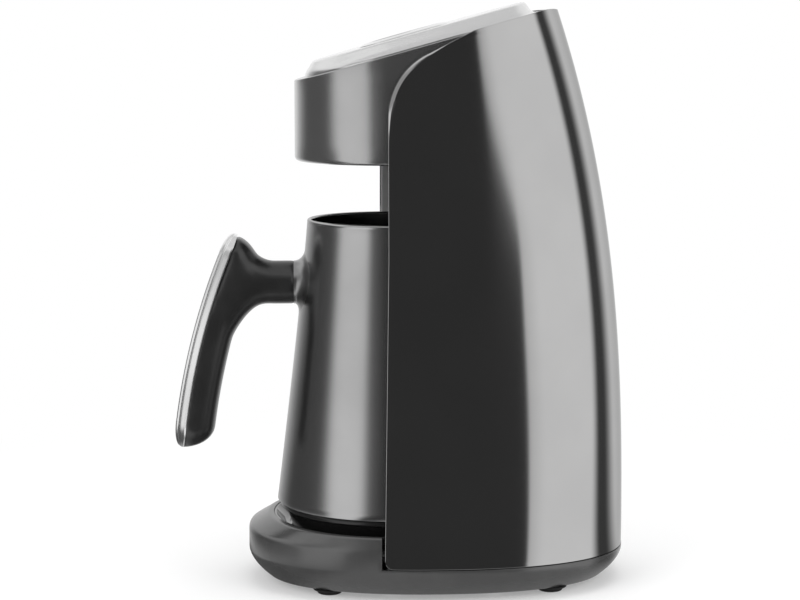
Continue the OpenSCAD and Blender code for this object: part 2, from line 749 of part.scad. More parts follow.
// Round plate inside the ring, with the holes of the keys and lamps
module control_plate() on_deck() color("#c9cbce") difference() {
    translate([0, ring_y, plate_z + 0.04]) cylinder(r = ring_r - ring_w - 0.05, h = plate_t - 0.4);
    for (side = [-1, 1]) at_button(side) cylinder(r = button_r + run, h = far, center = true);
    at_lights() cylinder(r = light_r + 0.1, h = far, center = true);
}
module light_pipes() on_deck() color("#f2f2e6") at_lights()
    translate([0, 0, switch_z + 1.5]) cylinder(r = light_r, h = plate_z + plate_t - 0.25 - switch_z - 1.5);

// A key: shallow dished cap with a flange that keeps it under the plate
module button(side) on_deck() color("#b4b6b9") at_button(side) difference() {
    union() {
        translate([0, 0, flange_z]) cylinder(r = flange_r, h = flange_t);
        translate([0, 0, flange_z + flange_t - eps])
            cylinder(r = button_r, h = button_top - 0.6 - flange_z - flange_t + eps);
        translate([0, 0, button_top - 0.6]) cylinder(r1 = button_r, r2 = button_r - 0.6, h = 0.6);
    }
    translate([0, 0, button_top + 38]) sphere(r = 38.4, $fn = 128);
}
module button_small() button(-1);
module button_large() button(1);
module plunger(side) on_deck() color("#e8e8e8") at_button(side)
    translate([0, 0, plunger_z]) cylinder(r = plunger_r, h = flange_z - 0.02 - plunger_z);
module plunger_small() plunger(-1);
module plunger_large() plunger(1);

// ---------- pot ----------

function pot_side(d, z0, z1, steps) = [
    for (k = [0 : steps]) let (z = z0 + (z1 - z0) * k / steps) [pot_r(z) - d, z]
];

// Spun steel vessel with a beaded rim
module pot_vessel() at_pot() color("#7c7e81") rotate_extrude() {
    polygon(concat(
        [[0, vessel_floor_z]],
        [[pot_r(vessel_floor_z) - pot_wall, vessel_floor_z], [pot_r(pot_z) - pot_wall, pot_z]],
        pot_side(0, pot_z, pot_top - rim_bead_r, 10),
        [for (k = [10 : -1 : 1])
            let (z = vessel_floor_z + 4 + (pot_top - rim_bead_r - vessel_floor_z - 4) * k / 10)
            [pot_r(z) - pot_wall, z]],
        [[pot_r(vessel_floor_z + 4) - pot_wall - 0.3, vessel_floor_z + 4],
         [pot_r(vessel_floor_z) - pot_wall - 3.5, vessel_floor_z + 1.2], [0, vessel_floor_z + 1.2]]
    ));
    translate([pot_rim_r - rim_bead_r + 0.1, pot_top - rim_bead_r]) circle(r = rim_bead_r);
}

module heater_plate() at_pot() color("#9a9c9e")
    translate([0, 0, heater_z]) cylinder(r = pot_r(heater_z) - pot_wall - 2.5, h = plate_h - 0.02);

// Ring-shaped element under the plate, with its two upturned ends left open
module heating_element() at_pot() color("#5b5148") translate([0, 0, heater_z - element_r - 0.02]) {
    rotate([0, 0, -75]) rotate_extrude(angle = 330) translate([element_ring_r, 0]) circle(r = element_r);
    for (a = [-75, 255]) rotate([0, 0, a]) translate([element_ring_r, 0, 0]) sphere(r = element_r);
}
module pot_thermostat() at_pot() color("#b8a888")
    translate([0, socket_r + 6.4, heater_z - 6.02]) cylinder(r = 5.6, h = 6);

// Black skirt that closes the pot below: a bead under the vessel, then a draft down to the dish
module pot_skirt() at_pot() color("#171718") difference() {
    rotate_extrude() polygon([
        [socket_r + fit, skirt_z], [skirt_r - skirt_in - 1.2, skirt_z], [skirt_r - skirt_in, skirt_z + 1.2],
        [skirt_r - 1.8, pot_z - 2.8], [skirt_r - 0.4, pot_z - 2.2], [skirt_r, pot_z - 1.6],
        [skirt_r, pot_z - 0.02], [pot_foot_r - pot_wall - 0.35, pot_z - 0.02],
        [pot_foot_r - pot_wall - 0.6, pot_z + 2], [pot_foot_r - pot_wall - 2, pot_z + 2],
        [pot_foot_r - pot_wall - 2, pot_z + 0.4], [skirt_r - 3.6, pot_z - 2.6],
        [skirt_r - skirt_in - 2, skirt_z + skirt_t], [socket_r + fit, skirt_z + skirt_t],
    ]);
    at_skirt_screws() cylinder(r = 1.5, h = far);
}

// Socket in the skirt that drops over the plug
module pot_socket() at_pot() color("#232324") difference() {
    translate([0, 0, skirt_z + 0.3]) cylinder(r = socket_r, h = socket_top - skirt_z - 0.3);
    translate([0, 0, -1]) cylinder(r = plug_r + run, h = plug_z + run + 1);
    cylinder(r = pin_r + run, h = far);
}
module socket_contacts() at_pot() color("#c8a24a") difference() {
    translate([0, 0, socket_top + 0.02]) cylinder(r = 7, h = 0.6);
    cylinder(r = pin_r + run, h = far);
}
module skirt_screws() at_pot() color("#b9bbbd") at_skirt_screws() {
    translate([0, 0, skirt_z + skirt_t + 0.02]) cylinder(r = 2.4, h = 1.6);
    translate([0, 0, skirt_z + 0.4]) cylinder(r = 1.4, h = heater_z - skirt_z - 0.42);
}

// ---------- handle ----------

// A point at depth d behind the seam, across the grip by x
function grip_point(s, x, d) =
    let (p = seam(s), a = grip_at(s)) [x, p[0] + d * cos(a), p[1] - d * sin(a)];

// Grip sections: flat at the seam and round behind
function grip_section(s) =
    let (e = max(0.12, end_round(s)), w = grip_w / 2 * (0.35 + 0.65 * e))
    [for (i = [0 : grip_pts]) let (t = 180 * i / grip_pts)
        grip_point(s, w * signed_pow(cos(t), 0.8), grip_d * e * pow(sin(t), 0.8))];

// Arm sections run from the ferrule to the grip and flare as they reach it
arm_start = -ferrule_y;
arm_end = seam_front - 24;
function flare(y, start, size, e) = size * pow(max(0, (y - start) / (arm_end - start)), e);
function arm_section(y) =
    let (up = arm_z + arm_h / 2 + flare(y, arm_end - 13.5, 9, 1.6),
         down = arm_z - arm_h / 2 - flare(y, arm_end - 10, 7.4, 1.7),
         w = arm_w / 2 + flare(y, arm_end - 16, grip_w / 2 - arm_w / 2 - 0.8, 1.4),
         e = 1 - 0.15 * (y - arm_start) / (arm_end - arm_start))
    [for (i = [0 : 23]) let (t = 15 * i)
        [w * signed_pow(cos(t), e), -y, (up + down) / 2 + (up - down) / 2 * signed_pow(sin(t), e)]];

// Places along the grip's sections, closer together at the ends
function ease(k, n) = (1 - cos(180 * k / n)) / 2;

// How far the trim's rib stands out from the seam
function trim_depth(s) = 0.04 + trim_t * (0.3 + 0.7 * max(0.12, end_round(s)));

// Black grip and arm, moulded in one
module handle_grip() at_pot() color("#2c2d2f") difference() {
    union() {
        loft([for (k = [0 : grip_rings]) grip_section(ease(k, grip_rings))]);
        loft([for (k = [0 : 9]) arm_section(arm_start + 0.05 + (arm_end - arm_start) * k / 9)]);
    }
    translate([0, 0, arm_z]) rotate([90, 0, 0]) {
        cylinder(r = stud_r + 0.05, h = arm_start + 12);
        cylinder(r = 2.2, h = handle_reach);
        translate([0, 0, screw_seat]) cylinder(r = screw_head_r + fit, h = 30);
    }
}
screw_seat = arm_end + 2;

// Bright trim let into the front of the grip, with a raised rib along it
module handle_trim() at_pot() color("#d6d8da") loft([
    for (k = [0 : grip_rings]) let (s = ease(k, grip_rings), e = max(0.12, end_round(s)),
        w = grip_w / 2 * (0.33 + 0.63 * e), t = trim_t * (0.3 + 0.7 * e))
        [for (q = [[1, 0], [1, 0.32], [0.86, 0.56], [0.62, 0.7], [0.5, 0.72], [0.4, 0.95], [0.2, 1],
                   [-0.2, 1], [-0.4, 0.95], [-0.5, 0.72], [-0.62, 0.7], [-0.86, 0.56], [-1, 0.32], [-1, 0]])
            grip_point(s, -w * q[0], -0.04 - t * q[1])]
]);

// A ring of the ferrule's fillet: it lies on the vessel at t = 0 and is upright to the arm at t = 90
function ferrule_ring(t, in) = [
    for (i = [0 : 23])
        let (r = ferrule_r - in + ferrule_fillet * (1 - sin(t)),
             x = r * cos(15 * i), z = arm_z + r * sin(15 * i), wall = sqrt(pow(pot_r(z), 2) - x * x))
        [x, -wall - (-ferrule_y - 0.4 - wall) * (1 - cos(t)), z]
];

// Metal ferrule that fairs the arm into the vessel
module handle_ferrule() at_pot() color("#b7b9bb") difference() {
    loft(concat(
        [[for (p = ferrule_ring(0, 0)) [p[0], 8 - pot_r(arm_z), p[2]]]],
        [for (t = [0 : 15 : 90]) ferrule_ring(t, 0)],
        [[for (p = ferrule_ring(90, 0.4)) [p[0], ferrule_y, p[2]]]]
    ));
    rotate_extrude() polygon(concat([[0, pot_z]], pot_side(-0.06, pot_z, pot_top, 10), [[0, pot_top]]));
    translate([0, 0, arm_z]) rotate([90, 0, 0]) cylinder(r = stud_r + 0.05, h = 60);
}

// Threaded stud welded to the vessel
module handle_stud() at_pot() color("#9c9ea0") difference() {
    translate([0, -20, arm_z]) rotate([90, 0, 0]) cylinder(r = stud_r, h = arm_start + 10 - 20);
    rotate_extrude() polygon(concat([[0, pot_z]], pot_side(-0.03, pot_z, pot_top, 10), [[0, pot_top]]));
    translate([0, 2 - arm_start, arm_z]) rotate([90, 0, 0]) cylinder(r = 1.9, h = 60);
}
module handle_screw() at_pot() color("#b9bbbd") translate([0, 0, arm_z]) rotate([90, 0, 0]) {
    translate([0, 0, arm_start]) cylinder(r = 1.85, h = screw_seat - arm_start + 0.2);
    translate([0, 0, screw_seat + 0.05]) cylinder(r = screw_head_r, h = 2.6);
}

base_tray();
base_pan();
rubber_feet();
base_screws();
recess_dish();
plug_body();
plug_contacts();
steel_jacket();
bay_liner();
outlet_insert();
cord_gland();
power_board();
relay();
transformer();
terminal_block();
capacitor();
board_screws();
head_shell();
head_soffit();
sensor_window();
sensor_board();
control_board();
switch_bodies();
buzzer();
control_screws();
top_cover();
control_ring();
control_plate();
light_pipes();
button_small();
button_large();
plunger_small();
plunger_large();
pot_vessel();
heater_plate();
heating_element();
pot_thermostat();
pot_skirt();
pot_socket();
socket_contacts();
skirt_screws();
handle_ferrule();
handle_stud();
handle_grip();
handle_trim();
handle_screw();
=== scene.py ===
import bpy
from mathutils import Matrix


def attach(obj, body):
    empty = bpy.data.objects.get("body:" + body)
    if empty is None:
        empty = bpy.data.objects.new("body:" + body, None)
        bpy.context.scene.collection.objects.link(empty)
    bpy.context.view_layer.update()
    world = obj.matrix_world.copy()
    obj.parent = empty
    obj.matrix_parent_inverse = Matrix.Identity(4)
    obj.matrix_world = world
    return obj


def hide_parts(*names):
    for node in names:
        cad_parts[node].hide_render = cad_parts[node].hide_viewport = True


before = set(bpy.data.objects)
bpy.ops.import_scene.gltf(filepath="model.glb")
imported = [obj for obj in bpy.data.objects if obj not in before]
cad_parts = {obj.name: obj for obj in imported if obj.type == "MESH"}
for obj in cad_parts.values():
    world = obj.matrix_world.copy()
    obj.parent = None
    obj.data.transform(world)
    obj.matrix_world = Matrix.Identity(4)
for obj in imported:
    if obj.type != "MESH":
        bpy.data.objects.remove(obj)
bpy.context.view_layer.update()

from math import asin, cos, degrees, e, hypot, pi, radians, sin, sqrt, tan

import bpy
from mathutils import Matrix, Vector

# ---------- studio ----------
# The camera looks along -X at the maker's right side, a little above the worktop.
# A pale floor, a white surround and three large soft lamps stand round it.
camera = bpy.data.objects.new("camera", bpy.data.cameras.new("camera"))
bpy.context.scene.collection.objects.link(camera)
camera.location = (0.8599, -0.0434, 0.2316)
camera.data.lens = 92.25
camera.data.sensor_width = 36
camera.data.clip_end = 50
bpy.context.scene.camera = camera
bpy.context.scene.view_settings.view_transform = "Standard"


def point_at(thing, target):
    """Turn the camera or a lamp towards a point."""
    thing.rotation_euler = (Vector(target) - thing.location).to_track_quat("-Z", "Y").to_euler()


point_at(camera, (0, 0.0002, 0.1182))


def operator(operation):
    """A Math operation on a wire, and the same with the wire on the right."""
    def on_left(self, other):
        return self.node("Math", {"operation": operation}, {0: self, 1: other})

    def on_right(self, other):
        return self.node("Math", {"operation": operation}, {0: other, 1: self})
    return on_left, on_right


class Wire:
    """An output socket of a shader tree, for use in sums. Without one, it is the tree's start."""

    def __init__(self, tree, socket=None):
        self.tree, self.socket = tree, socket

    def node(self, kind, settings=None, inputs=None, out=0):
        """Add a node, set it up, then fill its sockets with values or wires."""
        made = self.tree.nodes.new("ShaderNode" + kind)
        for name, value in (settings or {}).items():
            setattr(made, name, value)
        for name, value in (inputs or {}).items():
            if isinstance(value, Wire):
                self.tree.links.new(value.socket, made.inputs[name])
            else:
                made.inputs[name].default_value = value
        return Wire(self.tree, made.outputs[out] if made.outputs else None)

    def beside(self, out):
        """Another output of the node that this wire leaves."""
        return Wire(self.tree, self.socket.node.outputs[out])

    __add__, __radd__ = operator("ADD")
    __sub__, __rsub__ = operator("SUBTRACT")
    __mul__, __rmul__ = operator("MULTIPLY")
    __pow__, __rpow__ = operator("POWER")

    def smooth(self, low, high, start=0.0, end=1.0):
        """Runs softly from start to end as the wire goes from low to high."""
        return self.node("MapRange", {"interpolation_type": "SMOOTHSTEP"}, {
            "Value": self, "From Min": low, "From Max": high, "To Min": start, "To Max": end})

    def mix(self, factor, a, b):
        """A colour between a and b."""
        return self.node("Mix", {"data_type": "RGBA"}, {0: factor, 6: a, 7: b}, out=2)


def grey(value, warmth=0.0):
    """An opaque near-neutral colour."""
    return (value * (1 + warmth), value, value * (1 - warmth), 1)


def seen_directly(start):
    """1 for what the camera, a mirror or clear plastic looks at, 0 for light on things."""
    path = start.node("LightPath", out="Is Camera Ray")
    return path + path.beside("Is Glossy Ray") + path.beside("Is Transmission Ray")


def mirrored(start, x, y, z):
    """What polished metal sees that way, from 1 for the white surround down to 0 for black cloth.

    Angles are in degrees round the maker: 0 is its right side, 90 the back and -90 the handle.
    z is the sine of the angle above the worktop. Each smooth() is one soft edge of a cloth."""
    rear_dark, high_dark, screen_dark, ceiling_dark = 0.93, 0.55, 0.91, 0.28
    angle = start.node("Math", {"operation": "ARCTAN2"}, {0: y, 1: x}) * degrees(1)
    # A wide black cloth at the right side, whose hind edge leans and is partly soft
    hind = angle - z.smooth(0.06, 0.016, -6.5, 5.4) - z.smooth(0, -0.12, 0, 3.8)
    side_cloth = (angle + z.smooth(-0.01, 0.012) * 5).smooth(-29, -20) * (
        hind.smooth(27, 25) * 0.8 + hind.smooth(36, 26) * 0.2)
    fore_dark = z.smooth(-0.015, 0.01, 0.83, 0.9)
    side_dark = (angle + z.smooth(-0.04, -0.1) * 16).smooth(-17, -6, fore_dark, 0.955)
    # A narrow cloth behind, and a grey one high up between the side and the front
    rear_cloth = angle.smooth(81, 92) * angle.smooth(122, 99)
    high_cloth = (1 - side_cloth) * angle.smooth(-84, -72) * angle.smooth(0, -16)
    cloth = (side_cloth * side_dark + rear_cloth * rear_dark
             + high_cloth * z.smooth(0.115, 0.17) * high_dark) * z.smooth(0.66, 0.42)
    # A dark screen in front, whose edges step aside just under the horizon
    step = z.smooth(-0.045, -0.022) * z.smooth(0.004, -0.008)
    screen = (angle - step * 8).smooth(-168, -122) * (angle + step * 7.5 + z * 60).smooth(-64, -79)
    screen = screen * z.smooth(0.38, 0.22) * z.smooth(-0.134, -0.119) * screen_dark
    # A dimmer ceiling round one bright lamp
    lamp = angle.smooth(-128, -112) * angle.smooth(-76, -88) * z.smooth(0.98, 0.96)
    return 1 - cloth - screen - (1 - lamp) * z.smooth(0.56, 0.74) * ceiling_dark


def emptied(owner):
    """Clear the tree of a material or a world, and give its start."""
    owner.use_nodes = True
    owner.node_tree.nodes.clear()
    return Wire(owner.node_tree)


surround = bpy.data.worlds.new("surround")
bpy.context.scene.world = surround
sky = emptied(surround)
facing = sky.node("SeparateXYZ", None, {0: sky.node("TexCoord")})
glossy = sky.node("LightPath", out="Is Glossy Ray")
white = seen_directly(sky)
fill_light = 0.62
brightness = (white - glossy * (1 - mirrored(sky, facing, facing.beside(1), facing.beside(2)))
              + (1 - white) * fill_light)
sky.node("OutputWorld", None, {
    "Surface": sky.node("Background", None, {"Color": grey(1), "Strength": brightness})})

maker_middle = (0, 0, 0.12)
lamps = {
    "front_lamp": ((0.75, -0.95, 0.75), (0.9, 1.4), 9.0),
    "top_lamp": ((-0.25, 0.10, 1.75), (1.4, 1.4), 13.0),
    "rear_lamp": ((0.70, 1.10, 0.65), (0.9, 1.4), 8.0),
}
for name, (place, size, watts) in lamps.items():
    lamp = bpy.data.objects.new(name, bpy.data.lights.new(name, "AREA"))
    lamp.data.shape = "RECTANGLE"
    lamp.data.size, lamp.data.size_y = size
    lamp.data.energy = watts
    lamp.visible_glossy = False
    lamp.location = place
    point_at(lamp, maker_middle)
    bpy.context.scene.collection.objects.link(lamp)


def blank(name):
    """A new material, and the start of its tree."""
    material = bpy.data.materials.new(name)
    return material, emptied(material)


def position(start):
    """Where a point lies, in metres."""
    return start.node("TexCoord", out="Object")


worktop_material, start = blank("worktop")
along = start.node("SeparateXYZ", None, {0: position(start)})
across = along.beside(1)
distance = (along * along + across * across) ** 0.5
glossy = start.node("LightPath", out="Is Glossy Ray")
lit = start.node("BsdfDiffuse", None, {"Color": grey(0.93)})
# In metal the floor carries the cloths on: the further off, the nearer to the horizon they
# stand. Close to the maker, beside and behind it, metal sees a painted shadow instead: an even dark
# tone that stands for the maker's shade on the floor.
low = start.node("Math", {"operation": "LOGARITHM"}, {0: distance, 1: e}) * 0.028 - 0.065
aside = across.smooth(-0.06, 0)
there = mirrored(start, along - 0.03, across - aside * 0.06 + 0.03, low)
# Painted shadow: the floor is darker close to the maker, beside and behind it, and only metal sees
# it
painted_floor_shade = distance.smooth(0.108, 0.086) * across.smooth(-0.095, -0.08)
painted_floor_shade_tone = across.smooth(-0.05, -0.03, 0.12, 0.42)
darkening = 1 - there * (1 - painted_floor_shade) - painted_floor_shade * painted_floor_shade_tone
glow = start.node("Emission", None, {"Color": grey(1), "Strength": 1 - glossy * darkening})
# Near the maker the floor keeps its shadow, and further out it is as white as the surround
fade = distance.smooth(0.10, 0.36, 0.3, 1) * seen_directly(start) * (1 - glossy) + glossy
start.node("OutputMaterial", None, {
    "Surface": start.node("MixShader", None, {0: fade, 1: lit, 2: glow})})
floor_r, floor_sides = 12, 64
worktop = bpy.data.objects.new("worktop", bpy.data.meshes.new("worktop"))
turn = [2 * pi * k / floor_sides for k in range(floor_sides)]
worktop.data.from_pydata([(floor_r * cos(a), floor_r * sin(a), 0) for a in turn], [],
                         [list(range(floor_sides))])
worktop.data.materials.append(worktop_material)
bpy.context.scene.collection.objects.link(worktop)

# ---------- base ----------
# The upper base shell is one moulding in dark satin plastic: a full oval with a rolled-in foot, an
# upright band and a sloping rim round the recess. Behind, it is stepped down for the jacket. Sizes
# are in millimetres, and Y is measured from the pot's axis, which stands at POT_Y in the frame.
MM = 0.001
POT_Y = -4.42125
# The plan is an ellipse with fuller sides, by its exponent, half width, middle and half length
OVAL = 2.3
base_a, base_c, base_l = 53.9619, 19.8, 79.76
pan_z, taper_h, taper_in, taper_bow = 2.6, 10.9, 8, 1.7
band_z, rim_z0, rim_z, rim_land = 13.5, 22.7, 27.8, 1.6
recess_r, dish_r, tray_floor_z, tray_floor_t, base_wall = 50, 49.2, 20.9, 2.2, 2.4
step_y, upstand_in, slit_w, edge_round = -5.3, 1.9, 2.6, 0.35
outlet_x, outlet_y, beyond = 13.15, 81.6, 60


def link(thing):
    """Put an object in the scene, unless it is there."""
    if thing.name not in bpy.context.scene.collection.objects:
        bpy.context.scene.collection.objects.link(thing)


def dress(thing, material, body, node, sharp=32):
    """Shade a mesh smooth, give it its finish and its body, and hide the solid that it replaces."""
    link(thing)
    thing.data.shade_smooth()
    thing.data.set_sharp_from_angle(angle=radians(sharp))
    thing.data.materials.clear()
    thing.data.materials.append(material)
    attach(thing, body)
    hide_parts(node)


def shape(name, points, faces):
    """A mesh object from points in millimetres, with Y measured from the pot's axis."""
    mesh = bpy.data.meshes.new(name)
    mesh.from_pydata([(x * MM, (y + POT_Y) * MM, z * MM) for x, y, z in points], [], faces)
    mesh.update()
    return bpy.data.objects.new(name, mesh)


def skin(rings, caps=True):
    """Points and faces of a surface through closed rings of equal count."""
    count = len(rings[0])
    points = [p for ring in rings for p in ring]
    faces = []
    for low in range(0, (len(rings) - 1) * count, count):
        for i in range(count):
            j = (i + 1) % count
            faces.append((low + i, low + j, low + count + j, low + count + i))
    if caps:
        faces.append(tuple(reversed(range(count))))
        faces.append(tuple(range((len(rings) - 1) * count, len(rings) * count)))
    return points, faces


def settle(thing):
    """Apply every modifier of a mesh object."""
    link(thing)
    bpy.context.view_layer.update()
    seen = thing.evaluated_get(bpy.context.evaluated_depsgraph_get())
    mesh = bpy.data.meshes.new_from_object(seen)
    thing.modifiers.clear()
    thing.data = mesh


def carve(thing, tool, operation="DIFFERENCE"):
    """Cut one mesh with another, and throw the tool away."""
    link(tool)
    cut = thing.modifiers.new("cut", "BOOLEAN")
    cut.object, cut.operation, cut.solver = tool, operation, "EXACT"
    settle(thing)
    bpy.data.objects.remove(tool)


def power(value, exponent):
    """A power that keeps the value's sign."""
    return (1 if value > 0 else -1) * abs(value) ** exponent


def base_ring(z, inward):
    """A ring of the base's plan, drawn in: an ellipse with fuller sides."""
    a, reach, count = base_a - inward, base_l - inward, 192
    return [(a * power(cos(t), 2 / OVAL), base_c + reach * power(sin(t), 2 / OVAL), z)
            for t in (2 * pi * k / count for k in range(count))]


def foot_rings(inward, steps):
    """The rolled-in foot, from the bottom plate up to the upright band."""
    return [base_ring(pan_z + taper_h * k / steps, inward + taper_in * (1 - k / steps) ** taper_bow)
            for k in range(steps + 1)]


def rim_ring(out, z):
    """The base's outline drawn in to a circle round the recess."""
    r = recess_r + out
    return [(x * r / hypot(x, y), y * r / hypot(x, y), z) for x, y, _ in base_ring(0, 0)]


def rounded(before, corner, after, reach, steps=5):
    """Rings that round the corner between two flanks, reach millimetres along each at most."""
    rings, near_half = [], 0.45
    for k in range(steps + 1):
        w, ring = k / steps, []
        for a, b, c in zip(before, corner, after):
            a, b, c = Vector(a), Vector(b), Vector(c)
            p = b + (a - b).normalized() * reach
            q = b + (c - b).normalized() * min(reach, near_half * (c - b).length)
            ring.append(tuple(p * (1 - w) ** 2 + b * 2 * w * (1 - w) + q * w * w))
        rings.append(ring)
    return rings


def box(name, low, high):
    """A block, as a cutting tool."""
    (x0, y0, z0), (x1, y1, z1) = low, high
    plan = ((x0, y0), (x1, y0), (x1, y1), (x0, y1))
    return shape(name, *skin([[(x, y, z) for x, y in plan] for z in (z0, z1)]))


def disc(radius, z, centre=(0, 0), count=192):
    """A level circle of points."""
    turn = [2 * pi * k / count for k in range(count)]
    return [(centre[0] + radius * cos(a), centre[1] + radius * sin(a), z) for a in turn]


foot = foot_rings(0, 14)
edge, land, lip = base_ring(rim_z0, 0), rim_ring(rim_land, rim_z - 0.15), rim_ring(0, rim_z)
tray = shape("base_shell", *skin(
    foot + rounded(foot[-1], edge, land, reach=1.8)
    + rounded(edge, land, lip, reach=0.9, steps=4) + [lip]))
carve(tray, shape("inside", *skin(
    [base_ring(pan_z - 1, base_wall + taper_in)] + foot_rings(base_wall, 4)
    + [base_ring(tray_floor_z - tray_floor_t, base_wall)])))
behind = box("behind", (-90, step_y, band_z + 1), (90, 130, beyond))
carve(behind, shape("upstand", *skin([base_ring(z, upstand_in) for z in (band_z, tray_floor_z)])))
carve(tray, behind)
carve(tray, shape("recess", *skin([disc(dish_r + 0.15, z) for z in (tray_floor_z, beyond)])))
# A slit on each side lets the dark inside show behind the jacket's front edge
for side in (-1, 1):
    low, high = sorted((side * (base_a - 8), side * beyond))
    carve(tray, box("slit", (low, step_y, band_z + 1), (high, step_y + slit_w, tray_floor_z + 3)))
carve(tray, box("outlet", (-outlet_x, outlet_y, band_z + 1.1), (outlet_x, 110, 40)))
bevel = tray.modifiers.new("edges", "BEVEL")
bevel.width, bevel.segments, bevel.angle_limit = edge_round * MM, 2, radians(35)
settle(tray)


def texture(start, scale, detail=2.0, roughness=0.5, stretch=(1, 1, 1)):
    """Noise over the piece itself, with so many cells to a metre."""
    place = start.node("Mapping", None, {"Vector": position(start), "Scale": stretch})
    return start.node("TexNoise", None, {
        "Vector": place, "Scale": scale, "Detail": detail, "Roughness": roughness})


def relief(start, height, depth):
    """A bump of so many metres, from a height between 0 and 1."""
    return start.node("Bump", None, {"Height": height, "Distance": depth})


def toned(colour, factor):
    """The same colour, darker or paler."""
    return tuple(min(1, c * factor) for c in colour[:3]) + (1,)


def surface(start, sockets):
    """The piece's one shader, with its even values straight on the sockets."""
    start.node("OutputMaterial", None, {"Surface": start.node("BsdfPrincipled", None, sockets)})


def moulded(name, colour, roughness, grain=0.00004, cells=2600, gloss=0.5):
    """Moulded plastic: the fine grain of an eroded mould, with faint flow and handling marks."""
    material, start = blank(name)
    skin_grain = texture(start, cells, 2.0)
    cloud = texture(start, 55, 3.0)
    surface(start, {
        "Base Color": start.mix(cloud.smooth(0.3, 0.7), toned(colour, 0.88), toned(colour, 1.12)),
        "Roughness": roughness - 0.05 + cloud * 0.06 + skin_grain * 0.06,
        "Normal": relief(start, skin_grain, grain),
        "Specular IOR Level": gloss,
    })
    return material


base_plastic = moulded("base_plastic", grey(0.048), 0.24, grain=0.000006, gloss=1.0)
dress(tray, base_plastic, "stand", "base_tray")


def finish(node, material):
    """Give a carried-over solid its finish."""
    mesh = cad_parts[node].data
    mesh.materials.clear()
    mesh.materials.append(material)


# ---------- underside ----------
# A black moulded plate closes the base from below. Four rubber feet plug through it,
# and four zinc-plated screws with cross slots hold it to the shell's bosses.
black_plastic = moulded("black_plastic", grey(0.018), 0.45)
finish("base_pan", black_plastic)


def lathe(profile, centre=(0, 0), count=256):
    """Points and faces of a turned form, from pairs of radius and height."""
    return skin([disc(r, z, centre, count) for r, z in profile], caps=False)


def arc(centre, radius, first, last, steps=5):
    """Pairs along a circle, from one angle to the other in degrees."""
    angles = [radians(first + (last - first) * k / steps) for k in range(steps + 1)]
    return [(centre[0] + radius * cos(a), centre[1] + radius * sin(a)) for a in angles]


def join(points, faces, more_points, more_faces):
    """Add a second mesh's points and faces to the first."""
    faces += [tuple(len(points) + i for i in face) for face in more_faces]
    points += more_points


# A foot's outline, from the middle of its sole round its edge and groove to the top of its plug
foot_outline = ([(0.01, 0.35), (2.6, 0.3), (3.6, 0)] + arc((4.5, 0.6), 0.6, -90, 0)
                + [(5.1, 1.3), (5.3, 1.52)] + arc((6.45, 2.0), 0.45, -80, 80, 6)
                + [(2.3, 2.52), (2.3, 6.1), (0.01, 6.1)])
foot_x, foot_y = 31, 46
foot_points, foot_faces = [], []
for x in (-foot_x, foot_x):
    for y in (base_c - foot_y, base_c + foot_y):
        join(foot_points, foot_faces, *lathe(foot_outline, (x, y), 64))
rubber = moulded("rubber", grey(0.014), 0.68, grain=0.00006, cells=1800, gloss=0.35)
dress(shape("feet", foot_points, foot_faces), rubber, "stand", "rubber_feet")


def metal(name, colour, roughness, cells=900, depth=0.000004, patchy=0.05, stain=None):
    """Bare or plated metal: fine tool marks and a patchy sheen, going over to a stain in places."""
    material, start = blank(name)
    marks = texture(start, cells, 4.0, 0.6)
    cloud = texture(start, 38, 3.0)
    surface(start, {
        "Base Color": start.mix(cloud.smooth(0.35, 0.75), colour, stain or toned(colour, 0.9)),
        "Metallic": 1.0,
        "Roughness": roughness - patchy + cloud * patchy + marks * patchy,
        "Normal": relief(start, marks, depth),
    })
    return material


screw_steel = metal("screw_steel", grey(0.58), 0.32)
for node in ("base_screws", "board_screws", "control_screws", "skirt_screws",
             "handle_stud", "handle_screw"):
    finish(node, screw_steel)

# ---------- recess ----------
# A glossy black dish is pressed into the recess, with a turned-up wall and a narrow flange.
# The pot's round plug stands in its middle: black plastic with a brass pin and ring.
gloss_black, start = blank("gloss_black")
hairs = texture(start, 420, 5.0, 0.7, stretch=(1, 9, 1))
dust = texture(start, 2400, 1.0).smooth(0.70, 0.80)
surface(start, {
    "Base Color": start.mix(dust * 0.35, grey(0.008), grey(0.09)),
    "Roughness": 0.07 + hairs * 0.05 + dust * 0.3,
    "Normal": relief(start, hairs, 0.000002),
    "Coat Weight": 0.3,
    "Coat Roughness": 0.04,
})
dish_floor_r, dish_z, dish_t, plug_r, plug_gap = dish_r - 5, 22.4, 1.48, 15.5, 0.4
lip_z, lip_r, hole_r = rim_z - 0.45, 0.25, plug_r + plug_gap
dish = lathe(
    [(hole_r, dish_z - dish_t), (dish_floor_r + 1, dish_z - dish_t), (dish_r, rim_z - 1.2)]
    + arc((dish_r - lip_r, lip_z), lip_r, 0, 90, 3) + arc((dish_r - 0.7, lip_z), lip_r, 90, 160, 3)
    + [(dish_floor_r + 0.9, dish_z + 1.15), (dish_floor_r, dish_z + 0.35),
       (dish_floor_r - 0.8, dish_z + 0.05), (dish_floor_r - 1.6, dish_z),
       (hole_r, dish_z), (hole_r, dish_z - dish_t)])
dress(shape("recess_lining", *dish), gloss_black, "stand", "recess_dish")
finish("plug_body", black_plastic)
brass = metal("brass", (0.62, 0.43, 0.16, 1), 0.28, stain=(0.42, 0.27, 0.10, 1))
for node in ("plug_contacts", "socket_contacts"):
    finish(node, brass)

# ---------- inner tower ----------
# The bay wall with its two wings is one grey satin moulding that carries the jacket and the head.
# Behind it the power board stands on four posts, with its relay, coil, capacitor and terminals.
liner_plastic = moulded("liner_plastic", grey(0.36), 0.34, grain=0.00001)
finish("bay_liner", liner_plastic)

